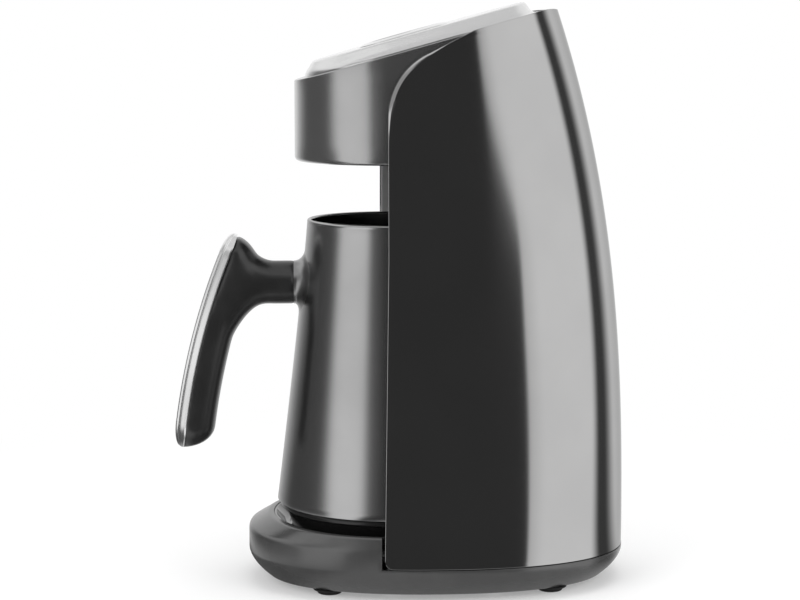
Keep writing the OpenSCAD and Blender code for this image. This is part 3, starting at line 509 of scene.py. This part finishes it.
circuit_board, start = blank("circuit_board")
weave = texture(start, 900, 2.0)
cells = start.node("TexVoronoi", {"feature": "DISTANCE_TO_EDGE"},
                   {"Vector": position(start), "Scale": 260.0})
track = cells.smooth(0.06, 0.10)
pad = start.node("TexVoronoi", None, {"Vector": position(start), "Scale": 330.0}).smooth(0.22, 0.17)
board_green = start.mix(track, (0.035, 0.16, 0.07, 1), (0.018, 0.085, 0.04, 1))
surface(start, {
    "Base Color": start.mix(pad, board_green, (0.55, 0.50, 0.40, 1)),
    "Metallic": pad * 0.8,
    "Roughness": 0.34 + weave * 0.10,
    "Normal": relief(start, weave * 0.4 + track * 0.6, 0.00003),
})
for node in ("power_board", "sensor_board", "control_board"):
    finish(node, circuit_board)
finish("relay", moulded("relay_case", (0.03, 0.07, 0.25, 1), 0.35))
finish("terminal_block", moulded("terminal_plastic", (0.62, 0.61, 0.55, 1), 0.45))
finish("capacitor", moulded("capacitor_sleeve", (0.018, 0.028, 0.05, 1), 0.28, grain=0.00001))

transformer_core, start = blank("transformer_core")
turns = start.node("TexWave", {"wave_type": "BANDS", "bands_direction": "Z"},
                   {"Vector": position(start), "Scale": 420.0, "Distortion": 0.6})
tape = texture(start, 300, 2.0)
surface(start, {
    "Base Color": start.mix(turns.smooth(0.2, 0.8), (0.26, 0.17, 0.04, 1), (0.50, 0.38, 0.10, 1)),
    "Roughness": 0.36 + tape * 0.15,
    "Normal": relief(start, turns, 0.00006),
})
finish("transformer", transformer_core)

# ---------- jacket ----------
# One sheet of satin stainless steel is wrapped round both sides and the back of the tower.
# Its front edge runs up and sweeps back to the deck, and its whole border is turned in.
jacket_z, tower_top, tower_back, tower_a_top = 14.9, 241.361, 99.55, 41.4
side_bow, front_grow, tower_lean, back_bow = 1.5, 26, 30, 2.6
edge_y0, edge_y1, edge_bend_z, sweep_z, sweep_r, sweep_end = -4.1, -2.2, 140, 197.014, 28, 63.4
deck_z, slope, crown_y, crown_r, crown_end = 221.929, radians(15.6), 62, 30, radians(40)
hem, sheet, edge_up = 1.7, 1.0, 0.6


def climb(z):
    """How far up the tower a height is, from 0 to 1."""
    return max(0, (z - jacket_z) / (tower_top - jacket_z))


def tower_reach(u, front):
    """How far the skin stands before or behind the plan's middle, at u of the way up."""
    return base_l + front_grow * u if front else tower_back - base_c - tower_lean * u ** back_bow


def tower_point(z, t):
    """A point of the tower's skin at height z, with t round its plan from the right to the back."""
    u = climb(z)
    a = base_a - (base_a - tower_a_top) * (1 - max(0, 1 - u) ** side_bow)
    reach = tower_reach(u, t < 0 or t > pi)
    return Vector((a * power(cos(t), 2 / OVAL), base_c + reach * power(sin(t), 2 / OVAL), z))


def side_angle(y, z):
    """How far round the plan the tower's skin reaches y."""
    share = min(1, abs(y - base_c) / tower_reach(climb(z), y < base_c)) ** (OVAL / 2)
    return (1 if y > base_c else -1) * asin(share)


def deck_height(y, h):
    """Height of the deck's plane, moved out by h, which eases down behind."""
    start_y = crown_y * cos(slope) - h * sin(slope)
    if y <= start_y:
        return deck_z + h / cos(slope) + y * tan(slope)
    low, high = 0.0, crown_end
    for _ in range(30):
        a = (low + high) / 2
        along, up = crown_y + (crown_r + h) * sin(a), (crown_r + h) * cos(a) - crown_r
        low, high = (a, high) if along * cos(slope) - up * sin(slope) < y else (low, a)
    return deck_z + along * sin(slope) + up * cos(slope)


# The border in side view, drawn in by the hem: lower corner, front edge, sweep and run to the deck
corner_r, low_z = 3.4 - hem, jacket_z + hem
border = [(edge_y0 + hem + corner_r * (1 - sin(a)), low_z + corner_r * (1 - cos(a)))
          for a in (radians(18 * k) for k in range(6))]
corner_z = border[-1][1]
border += [(edge_y0 + hem + (edge_y1 - edge_y0) * k / 40,
            corner_z + (edge_bend_z - corner_z) * k / 40) for k in range(1, 41)]
border += [(edge_y1 + hem, edge_bend_z + (sweep_z - edge_bend_z) * k / 18) for k in range(1, 19)]
centre_y, inner_r = edge_y1 + sweep_r, sweep_r - hem
border += [(centre_y - inner_r * cos(a), sweep_z + inner_r * sin(a))
           for a in (radians(sweep_end * k / 24) for k in range(1, 25))]
(last_y, last_z), rise = border[-1], tan(radians(90 - sweep_end))
ahead = (deck_height(0, edge_up - hem) - last_z + last_y * rise) / (rise - tan(slope)) - last_y
border += [(last_y + ahead * k / 10, last_z + ahead * k / 10 * rise) for k in range(1, 11)]
rows, columns = len(border), 72

# The top row first, then every row below it rises towards the back in the same way
ease = [(k / columns) ** 1.15 for k in range(columns + 1)]
first = side_angle(*border[-1])
top, height = [], border[-1][1]
for share in ease:
    t = first + (pi / 2 - first) * share
    for _ in range(12):
        height = deck_height(tower_point(height, t).y, edge_up - hem)
    top.append(height)
lift = [(h - top[0]) / (top[-1] - top[0]) for h in top]
lengths = [0]
for (y0, z0), (y1, z1) in zip(border, border[1:]):
    lengths.append(lengths[-1] + hypot(y1 - y0, z1 - z0))
grid = []
for (y, z), run in zip(border, lengths):
    t0, back_z = side_angle(y, z), low_z + (top[-1] - low_z) * run / lengths[-1]
    half = [(t0 + (pi / 2 - t0) * share, z + (back_z - z) * up) for share, up in zip(ease, lift)]
    grid.append(half + [(pi - t, z) for t, z in reversed(half[:-1])])
width = len(grid[0])


def outward(z, t):
    """The skin's normal, which points out of the tower."""
    small_turn, small_rise = 0.004, 0.4
    across = tower_point(z, t + small_turn) - tower_point(z, t - small_turn)
    upward = tower_point(z + small_rise, t) - tower_point(z - small_rise, t)
    return across.cross(upward).normalized()


outer = [tower_point(z, t) for row in grid for t, z in row]
normals = [outward(z, t) for row in grid for t, z in row]
faces = [(k * width + i, k * width + i + 1, (k + 1) * width + i + 1, (k + 1) * width + i)
         for k in range(rows - 1) for i in range(width - 1)]
inside_at = len(outer)
points = outer + [p - n * sheet for p, n in zip(outer, normals)]
faces += [tuple(inside_at + i for i in reversed(face)) for face in faces]
loop = (list(range(width)) + [k * width + width - 1 for k in range(1, rows)]
        + [(rows - 1) * width + i for i in range(width - 2, -1, -1)]
        + [k * width for k in range(rows - 2, 0, -1)])


def clamp(value):
    """The value, held between 0 and 1."""
    return max(0, min(1, value))


# The turned-in border: pairs of how far out and how deep it goes. It is crisp all round,
# and goes over to a wide soft roll where the front edge sweeps back.
crisp = ((1.5, 0.0), (1.62, 0.03), (1.68, 0.1), (hem, sheet * 0.98), (hem - 0.2, sheet))
soft = ((0.25, 0.09), (0.9, 0.32), (1.45, 0.56), (hem, sheet * 0.98), (hem - 0.2, sheet))
soft_z, soft_rise, soft_y, soft_run = 186, 20, 25, 18
strips = []
for (out0, depth0), (out1, depth1) in zip(crisp, soft):
    strip = []
    for k, i in enumerate(loop):
        share = clamp((outer[i].z - soft_z) / soft_rise) * clamp((soft_y - outer[i].y) / soft_run)
        share = share * share * (3 - 2 * share)
        along = (outer[loop[(k + 1) % len(loop)]] - outer[loop[k - 1]]).normalized()
        out, depth = out0 + (out1 - out0) * share, depth0 + (depth1 - depth0) * share
        strip.append(outer[i] + along.cross(normals[i]) * out - normals[i] * depth)
    strips.append(strip)
ids = [loop]
for strip in strips:
    ids.append([len(points) + k for k in range(len(strip))])
    points += strip
ids.append([inside_at + i for i in loop])
for a, b in zip(ids, ids[1:]):
    faces += [(a[k], b[k], b[(k + 1) % len(b)], a[(k + 1) % len(a)]) for k in range(len(a))]
jacket = shape("jacket_sheet", [tuple(p) for p in points], faces)
# The arch over the cord outlet is punched out of the back
arch_r, arch_z, arch_low = 13, 15.4, 8
arch = [(arch_r * cos(a), arch_z + arch_r * sin(a)) for a in (pi * k / 40 for k in range(41))]
arch = [(arch_r, arch_low)] + arch + [(-arch_r, arch_low)]
carve(jacket, shape("punch", *skin([[(x, y, z) for x, z in arch] for y in (120, 80)])))

jacket_steel, start = blank("jacket_steel")
brush = texture(start, 260, stretch=(1, 1, 16))
fine = texture(start, 1500, 1.0, stretch=(1, 1, 12))
cloud = texture(start, 22, 3.0)
surface(start, {
    "Base Color": start.mix(cloud.smooth(0.3, 0.7), grey(0.51, 0.003), grey(0.48, 0.002)),
    "Metallic": 1.0,
    "Roughness": 0.07 + brush * 0.025 + cloud * 0.015,
    "Specular Tint": grey(0.62),
    "Normal": relief(start, brush * 0.6 + fine * 0.4, 0.0000004),
})
dress(jacket, jacket_steel, "stand", "steel_jacket", sharp=14)

# ---------- cord outlet ----------
# An arched black insert closes the jacket's cut-out at the back, low down.
# The cord would come through the bore of its round rubber gland.
finish("outlet_insert", black_plastic)
finish("cord_gland", rubber)

# ---------- head ----------
# The head is a drum-nosed shell in dark metallic lacquer, with a small rounded lower edge.
# A flat black plate closes it below, and a smoked window in it lets the sensor watch the coffee.
head_r, head_z, head_back, head_wall, head_edge_r, deck_edge_r = 39.5, 177.5, 68.1, 2.2, 2, 0.35


def head_outline(inward):
    """The head's plan, drawn in: a round nose, straight sides and an oval back."""
    r, back = head_r - inward, head_back - base_c - inward
    nose = [(r * cos(a), r * sin(a)) for a in (pi + pi * k / 72 for k in range(73))]
    right = [(r, base_c * k / 5) for k in range(1, 5)]
    rear = [(r * power(cos(a), 2 / OVAL), base_c + back * power(sin(a), 2 / OVAL))
            for a in (pi * k / 56 for k in range(57))]
    left = [(-r, base_c * k / 5) for k in range(4, 0, -1)]
    return nose + right + rear + left


def deck_ring(inward, drop):
    """A ring of the head that follows the deck."""
    return [(x, y, deck_height(y, 0) - drop) for x, y in head_outline(inward)]


def level_ring(inward, z):
    """A level ring of the head."""
    return [(x, y, z) for x, y in head_outline(inward)]


quarter = [radians(15 * k) for k in range(7)]
head_rings = [level_ring(head_wall, head_z + 6), level_ring(head_wall, head_z + 0.25),
              level_ring(head_wall - 0.15, head_z)]
head_rings += [level_ring(head_edge_r * (1 - sin(a)), head_z + head_edge_r * (1 - cos(a)))
               for a in quarter]
side_z = head_z + head_edge_r
head_rings += [[(x, y, side_z + (deck_height(y, 0) - deck_edge_r - side_z) * k / 6)
                for x, y in head_outline(0)] for k in range(1, 6)]
head_rings += [deck_ring(deck_edge_r * (1 - cos(a)), deck_edge_r * (1 - sin(a))) for a in quarter]
head_rings += [deck_ring(inward, 0) for inward in (0.8, 1.6, 3, 6, 12)] + [deck_ring(12, head_wall)]


def flakes(start, cells):
    """Metal flakes in a lacquer, each with a tone of its own."""
    colour = start.node("TexVoronoi", None, {"Vector": position(start), "Scale": cells},
                        out="Color")
    return start.node("SeparateColor", None, {0: colour})


lacquer, start = blank("head_finish")
flake = flakes(start, 4200.0)
cloud = texture(start, 40, 3.0)
surface(start, {
    "Base Color": start.mix(cloud.smooth(0.3, 0.7), grey(0.425), grey(0.455)),
    "Metallic": 0.95,
    "Roughness": 0.18 + cloud * 0.04 + flake * 0.02,
    "Normal": relief(start, cloud, 0.000002),
    "Coat Weight": 0.15,
    "Coat Roughness": 0.15,
})
head = shape("head_shell_smooth", *skin(head_rings, caps=False))
dress(head, lacquer, "stand", "head_shell", sharp=40)
finish("head_soffit", black_plastic)

lens, start = blank("smoked_lens")
haze = texture(start, 600, 3.0)
surface(start, {
    "Base Color": start.mix(haze, (0.03, 0.010, 0.010, 1), (0.05, 0.018, 0.018, 1)),
    "Roughness": 0.04 + haze * 0.05,
    "Transmission Weight": 0.55,
    "IOR": 1.5,
})
finish("sensor_window", lens)
for node in ("switch_bodies", "buzzer"):
    finish(node, black_plastic)

# ---------- top cover ----------
# The cover on the deck is a silver-lacquered moulding with a rounded nose and a swept rear end.
# A bright plated ring sits in it and holds the round plate with the two keys and three lights.
cover_r, cover_back, cover_h, cover_in, cover_t = 36.3, 63.9046, 5.6, 4.6, 1.5
ring_y, ring_r, ring_w, ring_h, plate_z = 8, 19.5, 4, 0.9, 4.0
to_deck = Matrix.Translation((0, 0, deck_z)) @ Matrix.Rotation(slope, 4, "X")


def on_deck(points):
    """Move points from the deck's own plane to their place on the maker."""
    return [tuple(to_deck @ Vector(p)) for p in points]


def cover_outline(inward, rear):
    """The cover's outline in the deck's plane, drawn in all round and more at the rear."""
    r, reach = cover_r - inward, cover_back - base_c - rear
    back = [(r * power(cos(a), 2 / OVAL), base_c + reach * power(sin(a), 2 / OVAL))
            for a in (pi * k / 64 for k in range(65))]
    return back + [(r * cos(a), r * sin(a)) for a in (pi + pi * k / 72 for k in range(73))]


def through(stops, count):
    """A smooth run of values through stops, by a cardinal spline."""
    values, last = [], len(stops) - 1
    for k in range(count + 1):
        place = k / count * last
        i = min(int(place), last - 1)
        w = place - i
        near = [stops[max(0, min(last, j))] for j in (i - 1, i, i + 1, i + 2)]
        values.append(tuple(
            0.5 * (2 * b + (c - a) * w + (2 * a - 5 * b + 4 * c - d) * w * w
                   + (3 * b - a - 3 * c + d) * w ** 3) for a, b, c, d in zip(*near)))
    return values


# Each stop gives a height, how far the outline is drawn in there, and how far at the rear
lip_in, lip_rear = cover_in + 0.9, 5.1
cover_stops = [(0.02, 0, 0), (0.7, 0.15, 1.6), (2, 1, 2.7), (cover_h - 1.6, cover_in - 1.5, 3.3),
               (cover_h - 0.5, cover_in - 0.3, 3.9), (cover_h, lip_in, lip_rear)]
cover_rings = [[(x, y, z) for x, y in cover_outline(inward, rear)]
               for z, inward, rear in through(cover_stops, 30)]
for share in (0.5, 1.0):
    cover_rings.append([])
    for x, y in cover_outline(lip_in, lip_rear):
        far = hypot(x, y - ring_y)
        at = far + (ring_r - 0.6 - far) * share
        cover_rings[-1].append((x / far * at, ring_y + (y - ring_y) / far * at, cover_h))
cover_rings.append([(x, y, cover_h - cover_t) for x, y, z in cover_rings[-1]])
cover_points, cover_faces = skin(cover_rings, caps=False)

silver, start = blank("cover_silver")
spark = flakes(start, 5200.0)
peel = texture(start, 240, 2.0)
surface(start, {
    "Base Color": start.mix(spark, grey(0.62), grey(0.69)),
    "Metallic": 0.85,
    "Roughness": 0.20 + spark * 0.03,
    "Normal": relief(start, peel * 0.9 + spark * 0.05, 0.000002),
    "Coat Weight": 0.5,
    "Coat Roughness": 0.06,
})
cover = shape("silver_cover", on_deck(cover_points), cover_faces)
dress(cover, silver, "stand", "top_cover")

ring_low, ring_in, ring_seat_r = plate_z - 1.1, ring_r - ring_w, ring_r - ring_w - 1.6
crown = [(ring_r, cover_h + 0.02), (ring_r - 0.2, cover_h + 0.25), (ring_r - 1.4, cover_h + 0.68),
         (ring_r - 2.6, cover_h + ring_h), (ring_r - 3.5, cover_h + ring_h),
         (ring_in, cover_h + ring_h * 0.5)]
ring_outline = [(ring_seat_r, ring_low), (ring_r - 0.7, ring_low), crown[0]] + through(crown, 20)
ring_outline += [(ring_in, plate_z + 0.02), (ring_seat_r, plate_z - 0.58), (ring_seat_r, ring_low)]
ring_points, ring_faces = lathe(ring_outline, (0, ring_y), 160)
ring_bright = metal("ring_bright", grey(0.80), 0.10, cells=300, depth=0.000001, patchy=0.03)
dress(shape("bright_ring", on_deck(ring_points), ring_faces), ring_bright,
      "stand", "control_ring")

plate_silver, start = blank("plate_silver")
centre = to_deck @ Vector((0, ring_y, 0)) + Vector((0, POT_Y, 0))
spot = start.node("VectorMath", {"operation": "SUBTRACT"},
                  {0: position(start), 1: tuple(centre * MM)})
from_centre = start.node("VectorMath", {"operation": "LENGTH"}, {0: spot}, out="Value")
turned = start.node("TexNoise", {"noise_dimensions": "1D"},
                    {"W": from_centre, "Scale": 2600.0, "Detail": 3.0})
surface(start, {
    "Base Color": start.mix(turned.smooth(0.3, 0.7), grey(0.46), grey(0.56)),
    "Metallic": 0.9,
    "Roughness": 0.26 + turned * 0.08,
    "Normal": relief(start, turned, 0.000004),
})
finish("control_plate", plate_silver)

light_pipe, start = blank("light_pipe")
milk = texture(start, 900, 2.0)
surface(start, {
    "Base Color": start.mix(milk, (0.78, 0.78, 0.70, 1), (0.88, 0.88, 0.82, 1)),
    "Roughness": 0.25 + milk * 0.1,
    "Subsurface Weight": 0.15,
})
finish("light_pipes", light_pipe)

# ---------- keys ----------
# Two round push keys in satin silver, dished for a fingertip, with one raised dot for the small
# pot and two for the large one. Each stands on the white plunger of its switch.
key_silver = moulded("key_silver", grey(0.40), 0.30, grain=0.00001, cells=3000)
plunger_plastic = moulded("plunger_plastic", grey(0.66), 0.45)
button_r, button_x, button_y, button_top = 5.4, 7.2, ring_y + 1.5, 6.1
button_edge, flange_z, flange_top, flange_r = 0.45, 2.4, 3.7, button_r + 1
dimple_r, dimple_z = 38.4, button_top - 0.4
dimple = [(r, dimple_z + dimple_r - sqrt(dimple_r ** 2 - r * r)) for r in (4.7, 4, 3, 2, 1, 0.01)]
key_outline = ([(0.01, flange_z), (flange_r, flange_z), (flange_r, flange_top),
                (button_r, flange_top)]
               + arc((button_r - button_edge, button_top - 0.55), button_edge, 0, 90, 4) + dimple)
dot_outline = [(r, button_top - depth) for r, depth in (
    (0.75, 0.42), (0.72, 0.2), (0.55, 0.08), (0.3, 0.03), (0.01, 0.02))]
for side, size, dots in ((-1, "small", (0,)), (1, "large", (-1.3, 1.3))):
    key_points, key_faces = lathe(key_outline, (side * button_x, button_y), 96)
    for dot in dots:
        join(key_points, key_faces, *lathe(dot_outline, (side * button_x + dot, button_y), 24))
    dress(shape("key_" + size, on_deck(key_points), key_faces), key_silver,
          "key_" + size, "button_" + size)
    finish("plunger_" + size, plunger_plastic)

# ---------- pot ----------
# The vessel is spun from dark satin stainless steel, with a beaded rim.
# Turning marks run round it, so its lights stretch upright.
pot_z, pot_top, pot_foot_r, pot_rim_r, pot_h, pot_bow = 33.4, 153, 47.7, 34.4, 119.6, 1.12
bead, pot_wall, floor_z, floor_bend_z = 0.9, 1, 37.0, 43.0


def pot_r(z):
    """The vessel's radius outside, at height z."""
    return pot_rim_r + (pot_foot_r - pot_rim_r) * clamp((pot_top - z) / pot_h) ** pot_bow


def evenly(first, last, count):
    """Even steps from one value to another."""
    return [first + (last - first) * k / count for k in range(count + 1)]


wall_low = pot_z + 0.5
outside = [(pot_r(wall_low) - inward, pot_z + up)
           for inward, up in ((0.9, 0.05), (0.35, 0.12), (0.08, 0.3))]
outside += [(pot_r(z), z) for z in evenly(wall_low, pot_top - bead * 1.9, 48)]
outside += arc((pot_rim_r - bead + 0.1, pot_top - bead), bead, -20, 200, 12)
inside = [(pot_r(z) - pot_wall, z) for z in evenly(pot_top - 2.2, floor_bend_z, 32)]
inside += arc((pot_r(floor_bend_z) - 6.2, floor_z + 6.4), 5.2, 0, -90, 8) + [(0.01, floor_z + 1.2)]
vessel = shape("spun_vessel", *lathe(outside + inside))

pot_steel, start = blank("pot_steel")
level = start.node("SeparateXYZ", None, {0: position(start)}, out=2)
spun = start.node("TexNoise", {"noise_dimensions": "1D"},
                  {"W": level, "Scale": 3200.0, "Detail": 4.0})
cloud = texture(start, 26, 3.0)
surface(start, {
    "Base Color": start.mix(cloud.smooth(0.3, 0.7), grey(0.49), grey(0.45)),
    "Metallic": 1.0,
    "Roughness": 0.18 + spun * 0.04 + cloud * 0.03,
    "Specular Tint": grey(0.7),
    "Normal": relief(start, spun, 0.0000006),
})
dress(vessel, pot_steel, "pot", "pot_vessel", sharp=50)

# ---------- pot's foot ----------
# A black skirt closes the pot below and takes the socket that drops over the plug. Inside, a
# ring-shaped element is clamped under an aluminium plate, with a thermostat beside the socket.
skirt_r, skirt_z, skirt_floor, socket_r = 46.4, 22.5, 24.1, 18.25
skirt_black = moulded("skirt_black", grey(0.010), 0.20, grain=0.000008, cells=1500)
skirt = lathe([(socket_r, skirt_floor), (socket_r, skirt_z), (skirt_r - 6.2, skirt_z)]
              + arc((skirt_r - 6.0, skirt_z + 1.4), 1.4, -80, -20, 4)
              + [(skirt_r - 3.1, pot_z - 5.2), (skirt_r - 1.9, pot_z - 3.1),
                 (skirt_r - 1.6, pot_z - 2.6), (skirt_r - 0.9, pot_z - 2.35)]
              + arc((skirt_r - 0.6, pot_z - 1.7), 0.6, -60, 0, 4)
              + [(skirt_r, pot_z - 0.5), (skirt_r - 0.35, pot_z - 0.02),
                 (skirt_r - 2, pot_z - 0.02), (skirt_r - 3.6, pot_z - 2.6),
                 (skirt_r - 6.6, skirt_floor), (socket_r, skirt_floor)], count=192)
dress(shape("skirt", *skirt), skirt_black, "pot", "pot_skirt", sharp=40)
finish("pot_socket", black_plastic)
finish("heater_plate", metal("heater_aluminium", grey(0.58), 0.36))
element_sheath = metal("element_sheath", (0.22, 0.19, 0.17, 1), 0.45, stain=(0.12, 0.08, 0.06, 1))
finish("heating_element", element_sheath)
finish("pot_thermostat", moulded("thermostat_case", (0.40, 0.33, 0.22, 1), 0.5))

# ---------- ferrule ----------
# A turned steel ferrule fairs the arm into the vessel's side.
# A welded stud behind it takes the handle's screw.
arm_z, arm_h, arm_start = 126.2, 18.2, 40.2906
fillet, collar, narrowing = 4.6, 0.4, 0.06


def ferrule_ring(t, inward, depth=0.0):
    """A ring of the ferrule: it lies on the vessel at 0 degrees and stands to the arm at 90."""
    ring = []
    for k in range(96):
        a = 2 * pi * k / 96
        r = arm_h / 2 - inward + fillet * (1 - sin(t))
        x, z = r * cos(a) * (1 - narrowing * sin(t)), arm_z + r * sin(a)
        wall = sqrt(pot_r(z) ** 2 - x * x) - depth
        ring.append((x, -wall - (arm_start - collar - wall) * (1 - cos(t)), z))
    return ring


ferrule_rings = [ferrule_ring(0, 0.3, 0.6)] + [ferrule_ring(radians(6 * k), 0) for k in range(16)]
ferrule_rings += [[(x, -arm_start, z) for x, y, z in ferrule_ring(pi / 2, inward)]
                  for inward in (0.05, 1.2)]
ferrule = shape("steel_ferrule", *skin(ferrule_rings, caps=False))
ferrule_steel = metal("ferrule_steel", grey(0.34), 0.30, cells=500, depth=0.0000001, patchy=0.01)
dress(ferrule, ferrule_steel, "pot", "handle_ferrule", sharp=40)

# ---------- handle ----------
# Arm and grip are one black satin moulding, softly faired where they join.
# A bright plated trim with a raised rib is let into the whole front of the grip.
grip_y, grip_z, grip_bend_r, grip_low, grip_sweep = 201.19, 28.86, 290, 5.5, 18.3742
grip_len, grip_w, grip_d, trim_t, end_low, end_high = 93, 21, 12.5, 4.2, 10, 9
arm_end, arm_w, fair_voxel = 62.8, 17, 0.7


def grip_point(s, x, d):
    """A point at depth d behind the seam, where s runs up the grip from 0 to 1."""
    a, r = radians(grip_low + s * grip_sweep), grip_bend_r - d
    return (x, grip_y - r * cos(a), grip_z + r * sin(a))


def end_round(s):
    """How full the grip is at s: 1 along its length, and less towards its rounded ends."""
    low, high = s * grip_len, (1 - s) * grip_len
    if low < end_low:
        return max(0.12, sqrt(1 - (1 - low / end_low) ** 2))
    return max(0.12, sqrt(1 - (1 - high / end_high) ** 2)) if high < end_high else 1.0


def half_width(full):
    """Half of the grip's width, which narrows less at the ends than its depth does."""
    return grip_w / 2 * (0.35 + 0.65 * full)


def up_the_grip(count):
    """Places from 0 to 1, closer together at both ends."""
    return [(1 - cos(pi * k / count)) / 2 for k in range(count + 1)]


grip_rings = []
for s in up_the_grip(64):
    full = end_round(s)
    w, d, bow = half_width(full), grip_d * full, 0.8
    grip_rings.append([grip_point(s, w * power(cos(a), bow), d * abs(sin(a)) ** bow)
                       for a in (pi * k / 40 for k in range(41))])


def flare(y, run, size, bow):
    """How much the arm grows over its last run of millimetres."""
    return size * max(0, (y - arm_end + run) / run) ** bow


# The arm goes from the ferrule's oval to a squarer section, and flares into the grip
arm_rings = []
for k in range(25):
    y = arm_start - 0.5 + (arm_end + 5 - arm_start) * k / 24
    up = arm_z + arm_h / 2 + flare(min(y, arm_end), run=13.5, size=9, bow=1.6)
    down = arm_z - arm_h / 2 - flare(y, run=10, size=8.4, bow=1.7)
    w = arm_w / 2 + flare(min(y, arm_end), run=16, size=grip_w / 2 - arm_w / 2 - 0.8, bow=1.4)
    bow = 1 - 0.15 * (y - arm_start) / (arm_end - arm_start)
    neck = 0.975 if y < arm_start + 0.1 else 1
    middle, tall = (up + down) / 2, (up - down) / 2
    arm_rings.append([(neck * w * power(cos(a), bow), -y, middle + neck * tall * power(sin(a), bow))
                      for a in (2 * pi * j / 64 for j in range(64))])
handle = shape("grip_and_arm", *skin(grip_rings))
carve(handle, shape("arm", *skin(arm_rings)), "UNION")
remesh = handle.modifiers.new("fair", "REMESH")
remesh.mode, remesh.voxel_size = "VOXEL", fair_voxel * MM
settle(handle)
# The joint is faired far more than the rest, which only loses the voxels' steps
joint_y, joint_z, joint_reach, joint_h = arm_end - 0.5, arm_z - 2, 14, 34
joint = handle.vertex_groups.new(name="joint")
for vertex in handle.data.vertices:
    y, z = vertex.co.y / MM - POT_Y, vertex.co.z / MM
    near = max(0, 1 - abs(-y - joint_y) / joint_reach) * max(0, 1 - abs(z - joint_z) / joint_h)
    joint.add([vertex.index], min(1, near * 2.2), "REPLACE")
for group, rounds in (("joint", 110), ("", 4)):
    smoother = handle.modifiers.new("smooth", "SMOOTH")
    smoother.factor, smoother.iterations, smoother.vertex_group = 0.5, rounds, group
settle(handle)

grip_black, start = blank("grip_black")
leathery = texture(start, 2200, 2.0)
touch = texture(start, 70, 3.0)
surface(start, {
    "Base Color": start.mix(touch.smooth(0.35, 0.7), grey(0.013), grey(0.018)),
    "Roughness": 0.25 + touch * 0.06 + leathery * 0.04,
    "Normal": relief(start, leathery, 0.000006),
    "Specular IOR Level": 0.75,
})
dress(handle, grip_black, "pot", "handle_grip", sharp=60)

# Half of the trim's section: its side wall, its shoulder and the raised rib along the middle
trim_half = [(1, -0.16)] + through([
    (1, 0), (0.97, 0.14), (0.90, 0.48), (0.84, 0.57), (0.64, 0.61), (0.54, 0.65), (0.51, 0.72),
    (0.47, 0.92), (0.38, 0.985), (0.18, 1), (0, 1)], 40)
trim_form = trim_half + [(-a, b) for a, b in reversed(trim_half[:-1])]
let_in = 0.02
trim_rings = []
for s in up_the_grip(80):
    full = end_round(s)
    w, thick = half_width(full), trim_t * (0.3 + 0.7 * full)
    trim_rings.append([grip_point(s, -w * a, let_in - thick * b) for a, b in trim_form])
trim_chrome = metal("trim_chrome", grey(0.84), 0.22, cells=500, depth=0.0000002, patchy=0.03)
trim = shape("grip_trim", *skin(trim_rings))
dress(trim, trim_chrome, "pot", "handle_trim", sharp=60)
